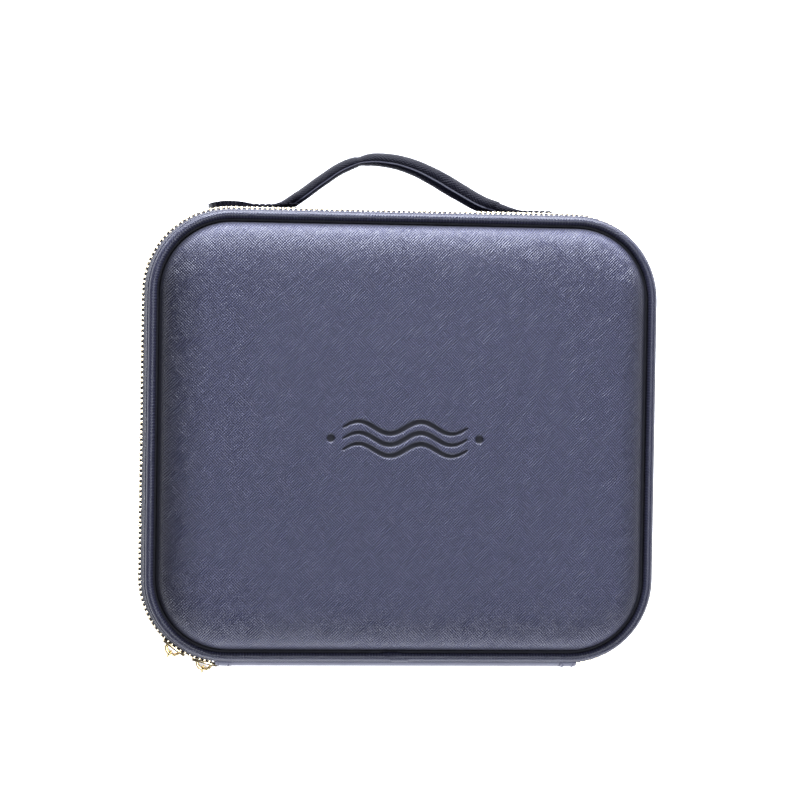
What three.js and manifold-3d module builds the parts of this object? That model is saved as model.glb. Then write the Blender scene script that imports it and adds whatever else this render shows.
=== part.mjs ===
// A travel set of heated hair rollers, closed in its zipped case.
//
// The case lies on its back. Millimetres, +Z up. The origin is the middle of the flat
// back panel's outer face. The carrying handle is on the -Y side and the lid's cloth
// hinge on the +Y side. Nearly every piece of the case follows one rounded outline, so
// a piece is described by its section: how far it reaches from the middle, and its height.

import * as THREE from "three";
import { mergeVertices } from "three/addons/utils/BufferGeometryUtils.js";
import Module from "manifold-3d";

const wasm = await Module();
wasm.setup();

// ---- driving dimensions -------------------------------------------------------------

const CASE = { halfX: 150, halfY: 132, radius: 50 };   // outline over the zip's teeth
const ARC_STEPS = 6;                                   // facets in each rounded corner
const OFFSET_SHARE = 0.4;                              // share of the radius that is offset evenly

const GAP = 0.3;                                       // between pieces that touch
const SEAM_Z = 97;                                     // the lid parts from the case here
const PIPING_RADIUS = 2.4;
const PIPING_REACH = 145.5;
const REAR_PIPING_Z = 7.2;
const LID_PIPING_Z = 108.3;
const PIPING_SIDES = 8;

const BACK_THICK = 6;
const GUSSET = { inner: 146, outer: 149, low: 9.9, high: 88 };
const BOARD = { inner: 143.2, outer: 145.7 };
const LINING = { inner: 141.8, outer: 142.8 };
const TAPE = { inner: 146, outer: 148, height: 5.6 };
const TEETH = { inner: 147.2, outer: 149.8, height: 2.6 };
const LID_EDGE_Z = 105.6;                              // top of the lid's side

const STRIP = { inner: 149.3, outer: 150.8, low: 80, from: -94.7, to: 96.7 };
const TAB = { outer: 150.6, low: 84, length: 9.5 };

const SLIDER_CENTRE = { x: CASE.halfX - CASE.radius, y: CASE.halfY - CASE.radius };
const SLIDER = { length: 15, height: 9, inner: 150.7, outer: 152.3, wire: 0.85, arch: 4.2 };
const SLIDER_ANGLES = { a: 53.8, b: 75.8 };            // degrees round the corner
const PULL = { ring: 2.6, wire: 0.6, width: 6.5, thick: 1.2, length: 21 };

const HANDLE_Z = 50;
const HANDLE = { wide: 9, tall: 16, sides: 10, steps: 22, footTall: 7.6, footWide: 5.4 };
const HANDLE_FOOT_LENGTH = 16;                         // over which the grip reaches full size
const HANDLE_LINE = [                                  // [along X, out from the gusset]
  [68, 7], [56, 11], [44, 20], [31, 28.5], [18, 32.8], [6, 33],
  [-8, 30], [-22, 24.2], [-38, 15.5], [-52, 9.5], [-67, 7],
];
const HANDLE_TAB = { inner: 149.3, outer: 151.8, from: 50, to: 112, half: 14 };

const TRAY = { outer: 135, wall: 2.2, low: 6.5, high: 38 };
const DECK = { low: 38.3, high: 42.3, reach: 134 };
const POST = { radius: 7.3, taper: 0.6, top: 92, hole: 8.4, sides: 14 };
const PLATE = { halfX: 118, y0: -8, y1: 100, low: 24, high: 27 };
const ROLLER = { bore: 8.1, low: 42.9, barrelTop: 97.2, top: 103, sides: 18 };
const ROLLER_ROWS = [
  { size: "large", y: 76, radius: 23 },
  { size: "small", y: 14, radius: 19 },
];
const ROLLER_PITCH = 64;
const ROLLERS_PER_ROW = 4;

const CLIP_TRAY = { x: 0, y: -78, halfX: 94, halfY: 33, radius: 8, wall: 1.6, low: 15, rim: 44 };
const CLIP = { width: 36, pitch: 46, count: 4, thick: 2, z: 31, y: -87 };
const CLIP_HALF = [                                    // middle of one half, from the wing to the tip
  [-16, 8.6], [-9, 5.4], [-3, 2.3], [2, 1.6], [9, 6.4], [17, 9.6], [25, 8.6], [31, 4.6], [34, 1.4],
];

const SWITCH = { x: 113, y: -74, halfX: 8, halfY: 11, rim: 2, high: 45, halfTravel: 7 };
const LENS = { x: 113, y: -48, radius: 4 };
const INLET = { x: -113, y: -74, halfX: 9, halfY: 13, wall: 2, low: 20, high: 44.5 };

// ---- finishes -----------------------------------------------------------------------

const finish = (name, color, roughness, metalness = 0) =>
  new THREE.MeshStandardMaterial({ name, color, roughness, metalness });
const leather = finish("grained_leather", 0x34364a, 0.42);
const darkLeather = finish("smooth_leather", 0x1f1f2b, 0.5);
const board = finish("fibre_board", 0x5a4a3a, 0.9);
const lining = finish("lining_fabric", 0x2a2a30, 0.95);
const tape = finish("zip_tape", 0x1b1b24, 0.9);
const gold = finish("pale_gold", 0xd9c08a, 0.3, 1);
const housing = finish("housing_plastic", 0x24252b, 0.55);
const aluminium = finish("cast_aluminium", 0xb9bcc0, 0.4, 1);
const flock = finish("flocked_barrel", 0x5a4668, 0.95);
const cap = finish("cap_plastic", 0x2e2e36, 0.4);
const clipPlastic = finish("clip_plastic", 0x3a3442, 0.35);
const ceramic = finish("heater_ceramic", 0xe6e0d4, 0.8);
const circuit = finish("circuit_board", 0x2d5a3a, 0.6);
const lens = finish("lens_amber", 0xd9822b, 0.2);

// ---- solids -------------------------------------------------------------------------

// The i-th point of the outline, drawn in so that its straight side is at `reach`.
function outlinePoint(reach, i, outline) {
  const inset = outline.halfX - reach;
  const even = Math.min(inset, outline.radius * OFFSET_SHARE);
  const shrink = reach / (outline.halfX - even);
  const corner = Math.floor(i / (ARC_STEPS + 1)) % 4;
  const angle = (corner + (i % (ARC_STEPS + 1)) / ARC_STEPS) * Math.PI / 2;
  const signX = corner === 0 || corner === 3 ? 1 : -1;
  const signY = corner < 2 ? 1 : -1;
  const radius = outline.radius - even;
  return [
    (signX * (outline.halfX - outline.radius) + radius * Math.cos(angle)) * shrink,
    (signY * (outline.halfY - outline.radius) + radius * Math.sin(angle)) * shrink,
  ];
}

// A section carried round the outline, as a lathe carries one round a circle.
// The section is a list of [reach, z], anticlockwise; it starts and ends on the axis or closes.
function carried(section, outline = CASE) {
  const count = 4 * (ARC_STEPS + 1);
  const open = section[0][0] === 0;
  const profile = open ? section : [...section, section[0]];
  const geometry = new THREE.LatheGeometry(profile.map(([reach, z]) => new THREE.Vector2(reach, z)), count);
  const position = geometry.getAttribute("position");
  for (let i = 0; i <= count; i++) {
    profile.forEach(([reach, z], j) => {
      const [x, y] = outlinePoint(reach, i, outline);
      position.setXYZ(i * profile.length + j, x, y, z);
    });
  }
  return welded(geometry);
}

const band = (inner, outer, low, high) =>
  carried([[inner, low], [outer, low], [outer, high], [inner, high]]);

function pipingRing(z) {
  const section = [];
  for (let i = 0; i < PIPING_SIDES; i++) {
    const angle = (i / PIPING_SIDES) * 2 * Math.PI;
    section.push([PIPING_REACH + PIPING_RADIUS * Math.cos(angle), z + PIPING_RADIUS * Math.sin(angle)]);
  }
  return carried(section);
}

// Position-only geometry with shared corners and no flat triangles.
function welded(geometry) {
  const bare = geometry.index ? geometry.toNonIndexed() : geometry.clone();
  bare.deleteAttribute("normal");
  bare.deleteAttribute("uv");
  const merged = mergeVertices(bare, 1e-4);
  const kept = [];
  const index = merged.index.array;
  for (let i = 0; i < index.length; i += 3) {
    const [a, b, c] = [index[i], index[i + 1], index[i + 2]];
    if (a !== b && b !== c && c !== a) kept.push(a, b, c);
  }
  merged.setIndex(kept);
  return merged;
}

function asManifold(geometry) {
  const shared = welded(geometry);
  return new wasm.Manifold(new wasm.Mesh({
    numProp: 3,
    vertProperties: new Float32Array(shared.getAttribute("position").array),
    triVerts: new Uint32Array(shared.index.array),
  }));
}

function asGeometry(manifold) {
  const mesh = manifold.getMesh();
  const geometry = new THREE.BufferGeometry();
  geometry.setAttribute("position", new THREE.BufferAttribute(mesh.vertProperties, 3));
  geometry.setIndex(new THREE.BufferAttribute(mesh.triVerts, 1));
  return geometry;
}

const less = (whole, ...cuts) =>
  asGeometry(cuts.reduce((solid, cut) => solid.subtract(asManifold(cut)), asManifold(whole)));
const joined = (first, ...others) =>
  asGeometry(others.reduce((solid, other) => solid.add(asManifold(other)), asManifold(first)));
const within = (whole, window) => asGeometry(asManifold(whole).intersect(asManifold(window)));

function block(x0, x1, y0, y1, z0, z1) {
  const geometry = new THREE.BoxGeometry(x1 - x0, y1 - y0, z1 - z0);
  return geometry.translate((x0 + x1) / 2, (y0 + y1) / 2, (z0 + z1) / 2);
}

function upright(radius, topRadius, x, y, z0, z1, sides) {
  const geometry = new THREE.CylinderGeometry(topRadius, radius, z1 - z0, sides);
  return geometry.rotateX(Math.PI / 2).translate(x, y, (z0 + z1) / 2);
}

function turnedUpright(section, x, y, sides) {
  const closed = section[0][0] === 0 ? section : [...section, section[0]];
  const geometry = new THREE.LatheGeometry(closed.map(([r, z]) => new THREE.Vector2(r, z)), sides);
  return welded(geometry.rotateX(Math.PI / 2).translate(x, y, 0));
}

// ---- the assembly -------------------------------------------------------------------

const set = new THREE.Group();

function piece(name, geometry, material, parent = set) {
  const mesh = new THREE.Mesh(geometry, material);
  mesh.name = name;
  parent.add(mesh);
  return mesh;
}

const FAR = 400;
const rearWindow = (from, to) => block(from, to, 0, FAR, -FAR, FAR);

function caseBody() {
  piece("back_panel", carried([
    [0, 0], [137.5, 0], [141.2, 1.1], [142.5, 3.6], [142.5, BACK_THICK], [0, BACK_THICK],
  ]), leather);
  piece("rear_piping", pipingRing(REAR_PIPING_Z), leather);
  piece("gusset", band(GUSSET.inner, GUSSET.outer, GUSSET.low, GUSSET.high), leather);
  piece("body_board", band(BOARD.inner, BOARD.outer, GUSSET.low, SEAM_Z - 0.5), board);
  piece("body_lining", band(LINING.inner, LINING.outer, BACK_THICK + GAP, SEAM_Z - 0.6), lining);
}

// The zip runs round both long sides and the front, and stops at the two end tabs.
function zip() {
  const zipless = rearWindow(STRIP.from - TAB.length - 2 * GAP, STRIP.to + TAB.length + 2 * GAP);
  const teethLow = SEAM_Z - 0.2 - TEETH.height;
  const bodyTape = band(TAPE.inner, TAPE.outer, GUSSET.high + GAP, teethLow - GAP);
  piece("body_zip_tape", less(bodyTape, zipless), tape);
  piece("body_zip_teeth", less(band(TEETH.inner, TEETH.outer, teethLow, SEAM_Z - 0.2), zipless), gold);
  const teethHigh = SEAM_Z + 0.2 + TEETH.height;
  const parked = block(SLIDER_CENTRE.x, SLIDER_CENTRE.x + 21, SLIDER_CENTRE.y, FAR, 0, FAR);
  const lidTeeth = band(TEETH.inner, TEETH.outer, SEAM_Z + 0.2, teethHigh);
  piece("lid_zip_teeth", less(lidTeeth, zipless, parked), gold);
  piece("lid_zip_tape", less(band(TAPE.inner, TAPE.outer, teethHigh + GAP, LID_EDGE_Z), zipless), tape);
}

// One strip of leather is the hinge; it is cut here at the line where the lid turns.
function clothHinge() {
  const window = rearWindow(STRIP.from, STRIP.to);
  const lower = band(STRIP.inner, STRIP.outer, STRIP.low, SEAM_Z - GAP);
  const upper = band(STRIP.inner, STRIP.outer, SEAM_Z + GAP, LID_EDGE_Z);
  piece("hinge_strip_lower", within(lower, window), leather);
  piece("hinge_strip_upper", within(upper, window), leather);
  const tabs = {
    left: [STRIP.from - GAP - TAB.length, STRIP.from - GAP],
    right: [STRIP.to + GAP, STRIP.to + GAP + TAB.length],
  };
  for (const [side, [from, to]] of Object.entries(tabs)) {
    const tab = within(band(STRIP.inner, TAB.outer, TAB.low, SEAM_Z - 0.4), rearWindow(from, to));
    piece(`zip_end_tab_${side}`, tab, darkLeather);
  }
}

function lid() {
  piece("lid_panel", carried([
    [0, 118], [100, 117.4], [121.3, 115.9], [131, 112.4], [134.6, 107.9], [134.6, 105.9],
    [142.9, 105.9], [142.9, 107.4], [140.6, 107.4], [140.5, 109.6], [139.7, 111.9], [137.6, 114.4],
    [133.8, 116.7], [128, 118.7], [119, 120.1], [100, 121.1], [60, 121.8], [0, 122],
  ]), leather);
  piece("lid_piping", pipingRing(LID_PIPING_Z), leather);
  piece("lid_board", band(BOARD.inner, BOARD.outer, SEAM_Z + GAP, LID_EDGE_Z), board);
  piece("lid_lining", carried([
    [0, 116.7], [100, 116.1], [120.4, 114.6], [129.8, 111.2], [133.2, 107.3], [133.2, 104.6],
    [LINING.inner, 104.6], [LINING.inner, SEAM_Z + 0.6], [LINING.outer, SEAM_Z + 0.6],
    [LINING.outer, 105.5], [134.2, 105.5], [134.2, 107.7], [130.6, 112], [120.9, 115.5], [100, 117],
    [0, 117.6],
  ]), lining);
}

// A slider and its hanging pull, drawn on the +X side and turned round the corner's centre.
function sliderAndPull(name, degrees) {
  const turnedCorner = new THREE.Group();
  turnedCorner.position.set(SLIDER_CENTRE.x, SLIDER_CENTRE.y, 0);
  turnedCorner.rotation.z = THREE.MathUtils.degToRad(degrees);
  set.add(turnedCorner);
  const out = (reach) => reach - SLIDER_CENTRE.x;

  const half = SLIDER.length / 2;
  const plate = block(out(SLIDER.inner), out(SLIDER.outer), -half, half,
    SEAM_Z - SLIDER.height / 2, SEAM_Z + SLIDER.height / 2);
  const archReach = out(SLIDER.outer) - 0.3;
  piece(`slider_${name}`, joined(plate, archRod(archReach)), gold, turnedCorner);

  const wireReach = archReach + SLIDER.arch;
  const ringZ = SEAM_Z - (PULL.ring - PULL.wire - SLIDER.wire - GAP);
  const ring = new THREE.TorusGeometry(PULL.ring, PULL.wire, 6, 12);
  ring.rotateX(Math.PI / 2).translate(wireReach, 0, ringZ);
  const top = ringZ - PULL.ring + PULL.wire / 2;
  const leaf = block(wireReach - PULL.thick / 2, wireReach + PULL.thick / 2,
    -PULL.width / 2, PULL.width / 2, top - PULL.length, top);
  piece(`pull_${name}`, joined(ring, leaf), gold, turnedCorner);
}

// The slider's bridge: a half ring of wire whose ends run into the plate.
function archRod(reach) {
  const half = new THREE.Path().absarc(0, 0, SLIDER.arch, -Math.PI / 2, Math.PI / 2);
  const line = new THREE.CatmullRomCurve3(half.getPoints(10).map((p) => new THREE.Vector3(p.x, p.y, 0)));
  const section = new THREE.Shape().absarc(0, 0, SLIDER.wire, 0, 2 * Math.PI);
  const rod = new THREE.ExtrudeGeometry(section, { steps: 12, curveSegments: 4, extrudePath: line });
  return rod.translate(reach, 0, SEAM_Z);
}

function handle() {
  const faceY = -(GUSSET.outer - CASE.halfX + CASE.halfY);
  const points = HANDLE_LINE.map(([x, reach]) => new THREE.Vector3(x, faceY - reach, 0));
  const line = new THREE.CatmullRomCurve3(points);
  const section = new THREE.Shape().absellipse(0, 0, HANDLE.tall / 2, HANDLE.wide / 2, 0, 2 * Math.PI);
  const grip = new THREE.ExtrudeGeometry(section, {
    steps: HANDLE.steps, curveSegments: HANDLE.sides / 2, extrudePath: line,
  });
  narrowFeet(grip, line);
  piece("handle_grip", welded(grip.translate(0, 0, HANDLE_Z)), darkLeather);

  const { inner, outer, from, to, half } = HANDLE_TAB;
  const tab = band(inner, outer, HANDLE_Z - half, HANDLE_Z + half);
  piece("handle_tab_left", within(tab, block(-to, -from, -FAR, 0, 0, FAR)), darkLeather);
  piece("handle_tab_right", within(tab, block(from, to, -FAR, 0, 0, FAR)), darkLeather);
}

// The rolled grip thins towards the feet, where it is stitched flat.
function narrowFeet(grip, line) {
  const position = grip.getAttribute("position");
  const length = line.getLength();
  const spine = line.getSpacedPoints(HANDLE.steps);
  for (let i = 0; i < position.count; i++) {
    const corner = new THREE.Vector3().fromBufferAttribute(position, i);
    const flat = corner.clone().setZ(0);
    const nearest = spine.reduce((best, point, k) =>
      (point.distanceTo(flat) < spine[best].distanceTo(flat) ? k : best), 0);
    const along = (length * nearest) / HANDLE.steps;
    const grown = Math.min(1, Math.min(along, length - along) / HANDLE_FOOT_LENGTH);
    const tall = THREE.MathUtils.lerp(HANDLE.footTall / HANDLE.tall, 1, grown);
    const wide = THREE.MathUtils.lerp(HANDLE.footWide / HANDLE.wide, 1, grown);
    const thinned = spine[nearest].clone().lerp(flat, wide).setZ(corner.z * tall);
    position.setXYZ(i, thinned.x, thinned.y, thinned.z);
  }
}

const rollerPlaces = [];
for (const row of ROLLER_ROWS) {
  for (let i = 0; i < ROLLERS_PER_ROW; i++) {
    const x = (i - (ROLLERS_PER_ROW - 1) / 2) * ROLLER_PITCH;
    rollerPlaces.push({ ...row, x, name: `roller_${row.size}_${i + 1}` });
  }
}

function heaterUnit() {
  const floorTop = TRAY.low + TRAY.wall;
  piece("base_tray", carried([
    [0, TRAY.low], [TRAY.outer - 3, TRAY.low], [TRAY.outer, TRAY.low + 3], [TRAY.outer, TRAY.high],
    [TRAY.outer - TRAY.wall, TRAY.high], [TRAY.outer - TRAY.wall, floorTop], [0, floorTop],
  ]), housing);

  const count = 4 * (ARC_STEPS + 1);
  const edge = Array.from({ length: count }, (_, i) =>
    new THREE.Vector2(...outlinePoint(DECK.reach, i, CASE)));
  const deck = new THREE.Shape(edge);
  const hole = (x, y, radius) =>
    deck.holes.push(new THREE.Path().absarc(x, y, radius, 0, 2 * Math.PI, true));
  const slot = (x, y, halfX, halfY) => deck.holes.push(new THREE.Path([
    [x - halfX, y - halfY], [x - halfX, y + halfY], [x + halfX, y + halfY], [x + halfX, y - halfY],
  ].map(([u, v]) => new THREE.Vector2(u, v))));
  for (const place of rollerPlaces) hole(place.x, place.y, POST.hole);
  hole(LENS.x, LENS.y, LENS.radius + GAP);
  slot(CLIP_TRAY.x, CLIP_TRAY.y, CLIP_TRAY.halfX - 2, CLIP_TRAY.halfY - 2);
  slot(SWITCH.x, SWITCH.y, SWITCH.halfX + GAP, SWITCH.halfY + GAP);
  slot(INLET.x, INLET.y, INLET.halfX + GAP, INLET.halfY + GAP);
  const deckGeometry = new THREE.ExtrudeGeometry(deck, {
    depth: DECK.high - DECK.low, bevelEnabled: false, curveSegments: 10,
  });
  piece("base_deck", deckGeometry.translate(0, 0, DECK.low), housing);

  const plate = block(-PLATE.halfX, PLATE.halfX, PLATE.y0, PLATE.y1, PLATE.low, PLATE.high);
  const posts = rollerPlaces.map(({ x, y }) =>
    upright(POST.radius, POST.radius - POST.taper, x, y, PLATE.low + 1, POST.top, POST.sides));
  piece("heater_plate", joined(plate, ...posts), aluminium);

  piece("ptc_element_left", block(-84, -44, 36, 52, 18, PLATE.low - GAP), ceramic);
  piece("ptc_element_right", block(44, 84, 36, 52, 18, PLATE.low - GAP), ceramic);
  piece("thermostat", upright(8, 8, 0, 45, 15, PLATE.low - GAP, 12), housing);
  piece("control_board", block(101, 127, -38, 22, 13, 14.6), circuit);
}

function controls() {
  const { x, y, halfX, halfY, rim, high } = SWITCH;
  const frame = block(x - halfX, x + halfX, y - halfY, y + halfY, 30, high);
  const well = block(x - halfX + rim, x + halfX - rim, y - halfY + rim, y + halfY - rim, 32, FAR);
  piece("switch_bezel", less(frame, well), housing);

  const side = halfY - rim - 0.8;
  const rocker = new THREE.Shape([
    [-side, -2.4], [side, -2.4], [side, 1.2], [0, 0.2], [-side, 1.2],
  ].map(([u, v]) => new THREE.Vector2(u, v)));
  const wide = 2 * (halfX - rim - 0.5);
  const rockerGeometry = new THREE.ExtrudeGeometry(rocker, { depth: wide, bevelEnabled: false });
  rockerGeometry.translate(0, 0, -wide / 2).rotateX(Math.PI / 2).rotateZ(Math.PI / 2);
  const mesh = piece("power_rocker", rockerGeometry, cap);
  mesh.position.set(x, y, high - 1.2);
  mesh.rotation.x = THREE.MathUtils.degToRad(SWITCH.halfTravel);

  piece("pilot_lens", turnedUpright([
    [0, 36], [LENS.radius, 36], [LENS.radius, 43], [LENS.radius * 0.7, 44.2], [0, 44.6],
  ], LENS.x, LENS.y, 12), lens);

  const shell = block(INLET.x - INLET.halfX, INLET.x + INLET.halfX,
    INLET.y - INLET.halfY, INLET.y + INLET.halfY, INLET.low, INLET.high);
  const socket = block(INLET.x - INLET.halfX + INLET.wall, INLET.x + INLET.halfX - INLET.wall,
    INLET.y - INLET.halfY + INLET.wall, INLET.y + INLET.halfY - INLET.wall, INLET.low + 6, FAR);
  const pins = [-4.3, 4.3].map((offset) =>
    upright(1.2, 1.2, INLET.x, INLET.y + offset, INLET.low + 5, INLET.high - 4, 8));
  piece("mains_inlet", joined(less(shell, socket), ...pins), housing);
}

function rollers() {
  for (const { name, x, y, radius } of rollerPlaces) {
    const collar = 1.2;
    piece(`${name}_barrel`, turnedUpright([
      [ROLLER.bore, ROLLER.low], [radius, ROLLER.low], [radius, ROLLER.low + 4],
      [radius - collar, ROLLER.low + 5],
      [radius - collar, ROLLER.barrelTop], [ROLLER.bore, ROLLER.barrelTop],
    ], x, y, ROLLER.sides), flock);
    piece(`${name}_cap`, turnedUpright([
      [0, ROLLER.barrelTop + GAP], [radius, ROLLER.barrelTop + GAP], [radius, ROLLER.top - 1.5],
      [radius - 1.5, ROLLER.top], [0, ROLLER.top],
    ], x, y, ROLLER.sides), cap);
  }
}

// Each clip is two mirrored halves that turn on one pin; a half is a strip of even thickness.
function clipHalf(sign) {
  const line = CLIP_HALF.map(([u, v]) => new THREE.Vector2(u, v * sign));
  const normals = line.map((_, i) => {
    const along = line[Math.min(i + 1, line.length - 1)].clone().sub(line[Math.max(i - 1, 0)]).normalize();
    return new THREE.Vector2(-along.y, along.x).multiplyScalar(CLIP.thick / 2);
  });
  const outer = line.map((p, i) => p.clone().add(normals[i]));
  const inner = line.map((p, i) => p.clone().sub(normals[i])).reverse();
  const strip = new THREE.ExtrudeGeometry(new THREE.Shape([...outer, ...inner]), {
    depth: CLIP.width, bevelEnabled: false,
  });
  return strip.translate(0, 0, -CLIP.width / 2).rotateX(Math.PI / 2).rotateZ(Math.PI / 2);
}

function clips() {
  const { halfX, wall, low, rim } = CLIP_TRAY;
  const flange = 2.4;
  const tray = carried([
    [0, low], [halfX - flange - 1, low], [halfX - flange, low + 1], [halfX - flange, DECK.high + GAP],
    [halfX, DECK.high + GAP], [halfX, rim], [halfX - flange - wall, rim],
    [halfX - flange - wall, low + wall],
    [0, low + wall],
  ], CLIP_TRAY);
  piece("clip_tray", tray.translate(CLIP_TRAY.x, CLIP_TRAY.y, 0), housing);
  for (let i = 0; i < CLIP.count; i++) {
    const x = (i - (CLIP.count - 1) / 2) * CLIP.pitch;
    for (const [half, sign] of [["lower", -1], ["upper", 1]]) {
      const mesh = piece(`clip_${i + 1}_${half}_jaw`, clipHalf(sign), clipPlastic);
      mesh.position.set(x, CLIP.y, CLIP.z);
    }
  }
}

caseBody();
zip();
clothHinge();
lid();
for (const [name, degrees] of Object.entries(SLIDER_ANGLES)) sliderAndPull(name, degrees);
handle();
heaterUnit();
controls();
rollers();
clips();

export default set;
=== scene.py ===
"""Heated hair rollers in a zipped travel case: the looks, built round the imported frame.

The case lies closed on its back. +Z is up, the handle is at -Y and the cloth hinge at +Y.
Pieces are drawn in millimetres and brought to metres as each one is finished.
"""

import math

import bmesh
import bpy
from mathutils import Matrix, Vector


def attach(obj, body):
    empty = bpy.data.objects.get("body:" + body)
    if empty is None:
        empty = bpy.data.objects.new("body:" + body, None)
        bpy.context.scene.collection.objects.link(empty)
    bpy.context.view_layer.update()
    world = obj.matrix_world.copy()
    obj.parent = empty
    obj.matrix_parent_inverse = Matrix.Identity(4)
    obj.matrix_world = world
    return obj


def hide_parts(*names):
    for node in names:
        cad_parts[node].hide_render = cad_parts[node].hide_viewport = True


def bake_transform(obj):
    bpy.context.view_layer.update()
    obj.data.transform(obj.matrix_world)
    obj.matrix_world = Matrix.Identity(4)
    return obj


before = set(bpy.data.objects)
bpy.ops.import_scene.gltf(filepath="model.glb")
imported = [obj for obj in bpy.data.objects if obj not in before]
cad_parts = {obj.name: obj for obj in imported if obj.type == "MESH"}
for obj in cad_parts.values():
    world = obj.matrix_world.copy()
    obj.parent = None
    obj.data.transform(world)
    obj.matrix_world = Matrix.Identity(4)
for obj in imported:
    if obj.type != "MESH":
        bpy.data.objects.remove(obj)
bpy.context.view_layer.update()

# ---- Stage, camera and lights --------------------------------------------------------
# A plain pale floor under plain soft studio light. The camera looks straight down on the
# lid from about a metre and a half, a few degrees round towards the zip sliders.

MM = 0.001
scene = bpy.context.scene

camera_distance = 1.5
camera_lens = 117.0
camera_lean_x = math.radians(6.2)
camera_lean_y = math.radians(-1.4)
camera_roll = math.radians(0.9)
camera_target = Vector((0.003, -0.0244, 0.112))

camera_data = bpy.data.cameras.new("camera")
camera_data.lens = camera_lens
camera_data.sensor_width = 36
camera = bpy.data.objects.new("camera", camera_data)
scene.collection.objects.link(camera)
sight = Vector((math.tan(camera_lean_x), math.tan(camera_lean_y), 1)).normalized()
screen_up = Vector((0, -1, 0))
screen_up = (screen_up - sight * screen_up.dot(sight)).normalized()
screen_right = screen_up.cross(sight)
turned = Matrix((screen_right, screen_up, sight)).transposed().to_4x4()
camera.matrix_world = (
    Matrix.Translation(camera_target + sight * camera_distance)
    @ turned
    @ Matrix.Rotation(camera_roll, 4, "Z")
)
scene.camera = camera
scene.view_settings.view_transform = "Standard"


def area_light(name, place, aim, size, watts, colour=(1, 1, 1)):
    data = bpy.data.lights.new(name, "AREA")
    data.shape = "RECTANGLE"
    data.size, data.size_y = size
    data.energy = watts
    data.color = colour
    lamp = bpy.data.objects.new(name, data)
    scene.collection.objects.link(lamp)
    lamp.location = place
    lamp.rotation_euler = (Vector(place) - Vector(aim)).to_track_quat("Z", "Y").to_euler()
    return lamp


STUDIO_TINT = (0.84, 0.88, 1)
area_light("softbox_handle_side", (0.0, -1.35, 0.42), (0, -0.05, 0.1), (1.6, 0.4), 78, STUDIO_TINT)
area_light("softbox_hinge_side", (0.0, 1.35, 0.42), (0, 0.05, 0.1), (1.4, 0.16), 20, STUDIO_TINT)
area_light("overhead", (-0.3, -0.02, 1.85), (0, 0, 0.1), (0.75, 0.7), 18, STUDIO_TINT)

world = bpy.data.worlds.new("white_room")
scene.world = world
world.use_nodes = True
world.node_tree.nodes["Background"].inputs["Color"].default_value = (*STUDIO_TINT, 1)
world.node_tree.nodes["Background"].inputs["Strength"].default_value = 0.08

bm = bmesh.new()
bmesh.ops.create_grid(bm, x_segments=1, y_segments=1, size=40)
floor_mesh = bpy.data.meshes.new("floor")
bm.to_mesh(floor_mesh)
bm.free()
floor = bpy.data.objects.new("floor", floor_mesh)
scene.collection.objects.link(floor)
floor_paint = bpy.data.materials.new("floor_paint")
floor_paint.use_nodes = True
floor_shader = floor_paint.node_tree.nodes["Principled BSDF"]
floor_shader.inputs["Base Color"].default_value = (0.9, 0.9, 0.9, 1)
floor_shader.inputs["Roughness"].default_value = 0.9
floor_shader.inputs["Emission Color"].default_value = (1, 1, 1, 1)
floor_shader.inputs["Emission Strength"].default_value = 0.9
floor_mesh.materials.append(floor_paint)

# ---- The lid's padded panel ----------------------------------------------------------
# Faux leather with a pressed cross grain, stretched over foam and board so that it crowns.
# It is sewn down in a deep groove just inside the piping.

CORNER_X, CORNER_Y = 100, 82          # centres of the case's rounded corners
FRONT_SHORT = 18                      # the outline reaches this much less along Y than along X
CORNER_STEPS = 16


def chain(bm, points, closed=False):
    """Vertices joined by edges, for a section that will be carried or spun."""
    verts = [bm.verts.new(point) for point in points]
    edges = [bm.edges.new(pair) for pair in zip(verts, verts[1:])]
    if closed:
        edges.append(bm.edges.new((verts[-1], verts[0])))
    return verts, edges


def face_out(bm):
    bmesh.ops.recalc_face_normals(bm, faces=bm.faces)


def shift(bm, by):
    bmesh.ops.translate(bm, verts=bm.verts, vec=by)


def push(bm, edges, by, steps=1):
    for _ in range(steps):
        grown = bmesh.ops.extrude_edge_only(bm, edges=edges)["geom"]
        edges = [part for part in grown if isinstance(part, bmesh.types.BMEdge)]
        verts = [part for part in grown if isinstance(part, bmesh.types.BMVert)]
        edges = [edge for edge in edges if all(vert in verts for vert in edge.verts)]
        bmesh.ops.translate(bm, verts=verts, vec=Vector(by) / steps)
    return edges


def turn(bm, edges, centre, angle, steps):
    verts = list({vert for edge in edges for vert in edge.verts})
    spun = bmesh.ops.spin(bm, geom=verts + edges, cent=centre, axis=(0, 0, 1), angle=angle, steps=steps)
    return [part for part in spun["geom_last"] if isinstance(part, bmesh.types.BMEdge)]


def carry_round(section, closed=True, corner=(CORNER_X, CORNER_Y), steps=CORNER_STEPS):
    """A section of (reach, height), carried round a rounded outline by one quarter and two mirrors."""
    bm = bmesh.new()
    _, edges = chain(bm, [(reach, 0, height) for reach, height in section], closed)
    edges = push(bm, edges, (0, corner[1], 0), 4)
    edges = turn(bm, edges, (*corner, 0), math.pi / 2, steps)
    push(bm, edges, (-corner[0], 0, 0), 5)
    for axis in "XY":
        bmesh.ops.mirror(bm, geom=bm.verts[:] + bm.edges[:] + bm.faces[:], merge_dist=0.001, axis=axis)
    bmesh.ops.remove_doubles(bm, verts=bm.verts, dist=0.001)
    face_out(bm)
    return bm


def round_section(reach, height, radius, sides, start=0.0):
    step = 2 * math.pi / sides
    return [(reach + radius * math.cos(start + i * step), height + radius * math.sin(start + i * step))
            for i in range(sides)]


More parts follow.
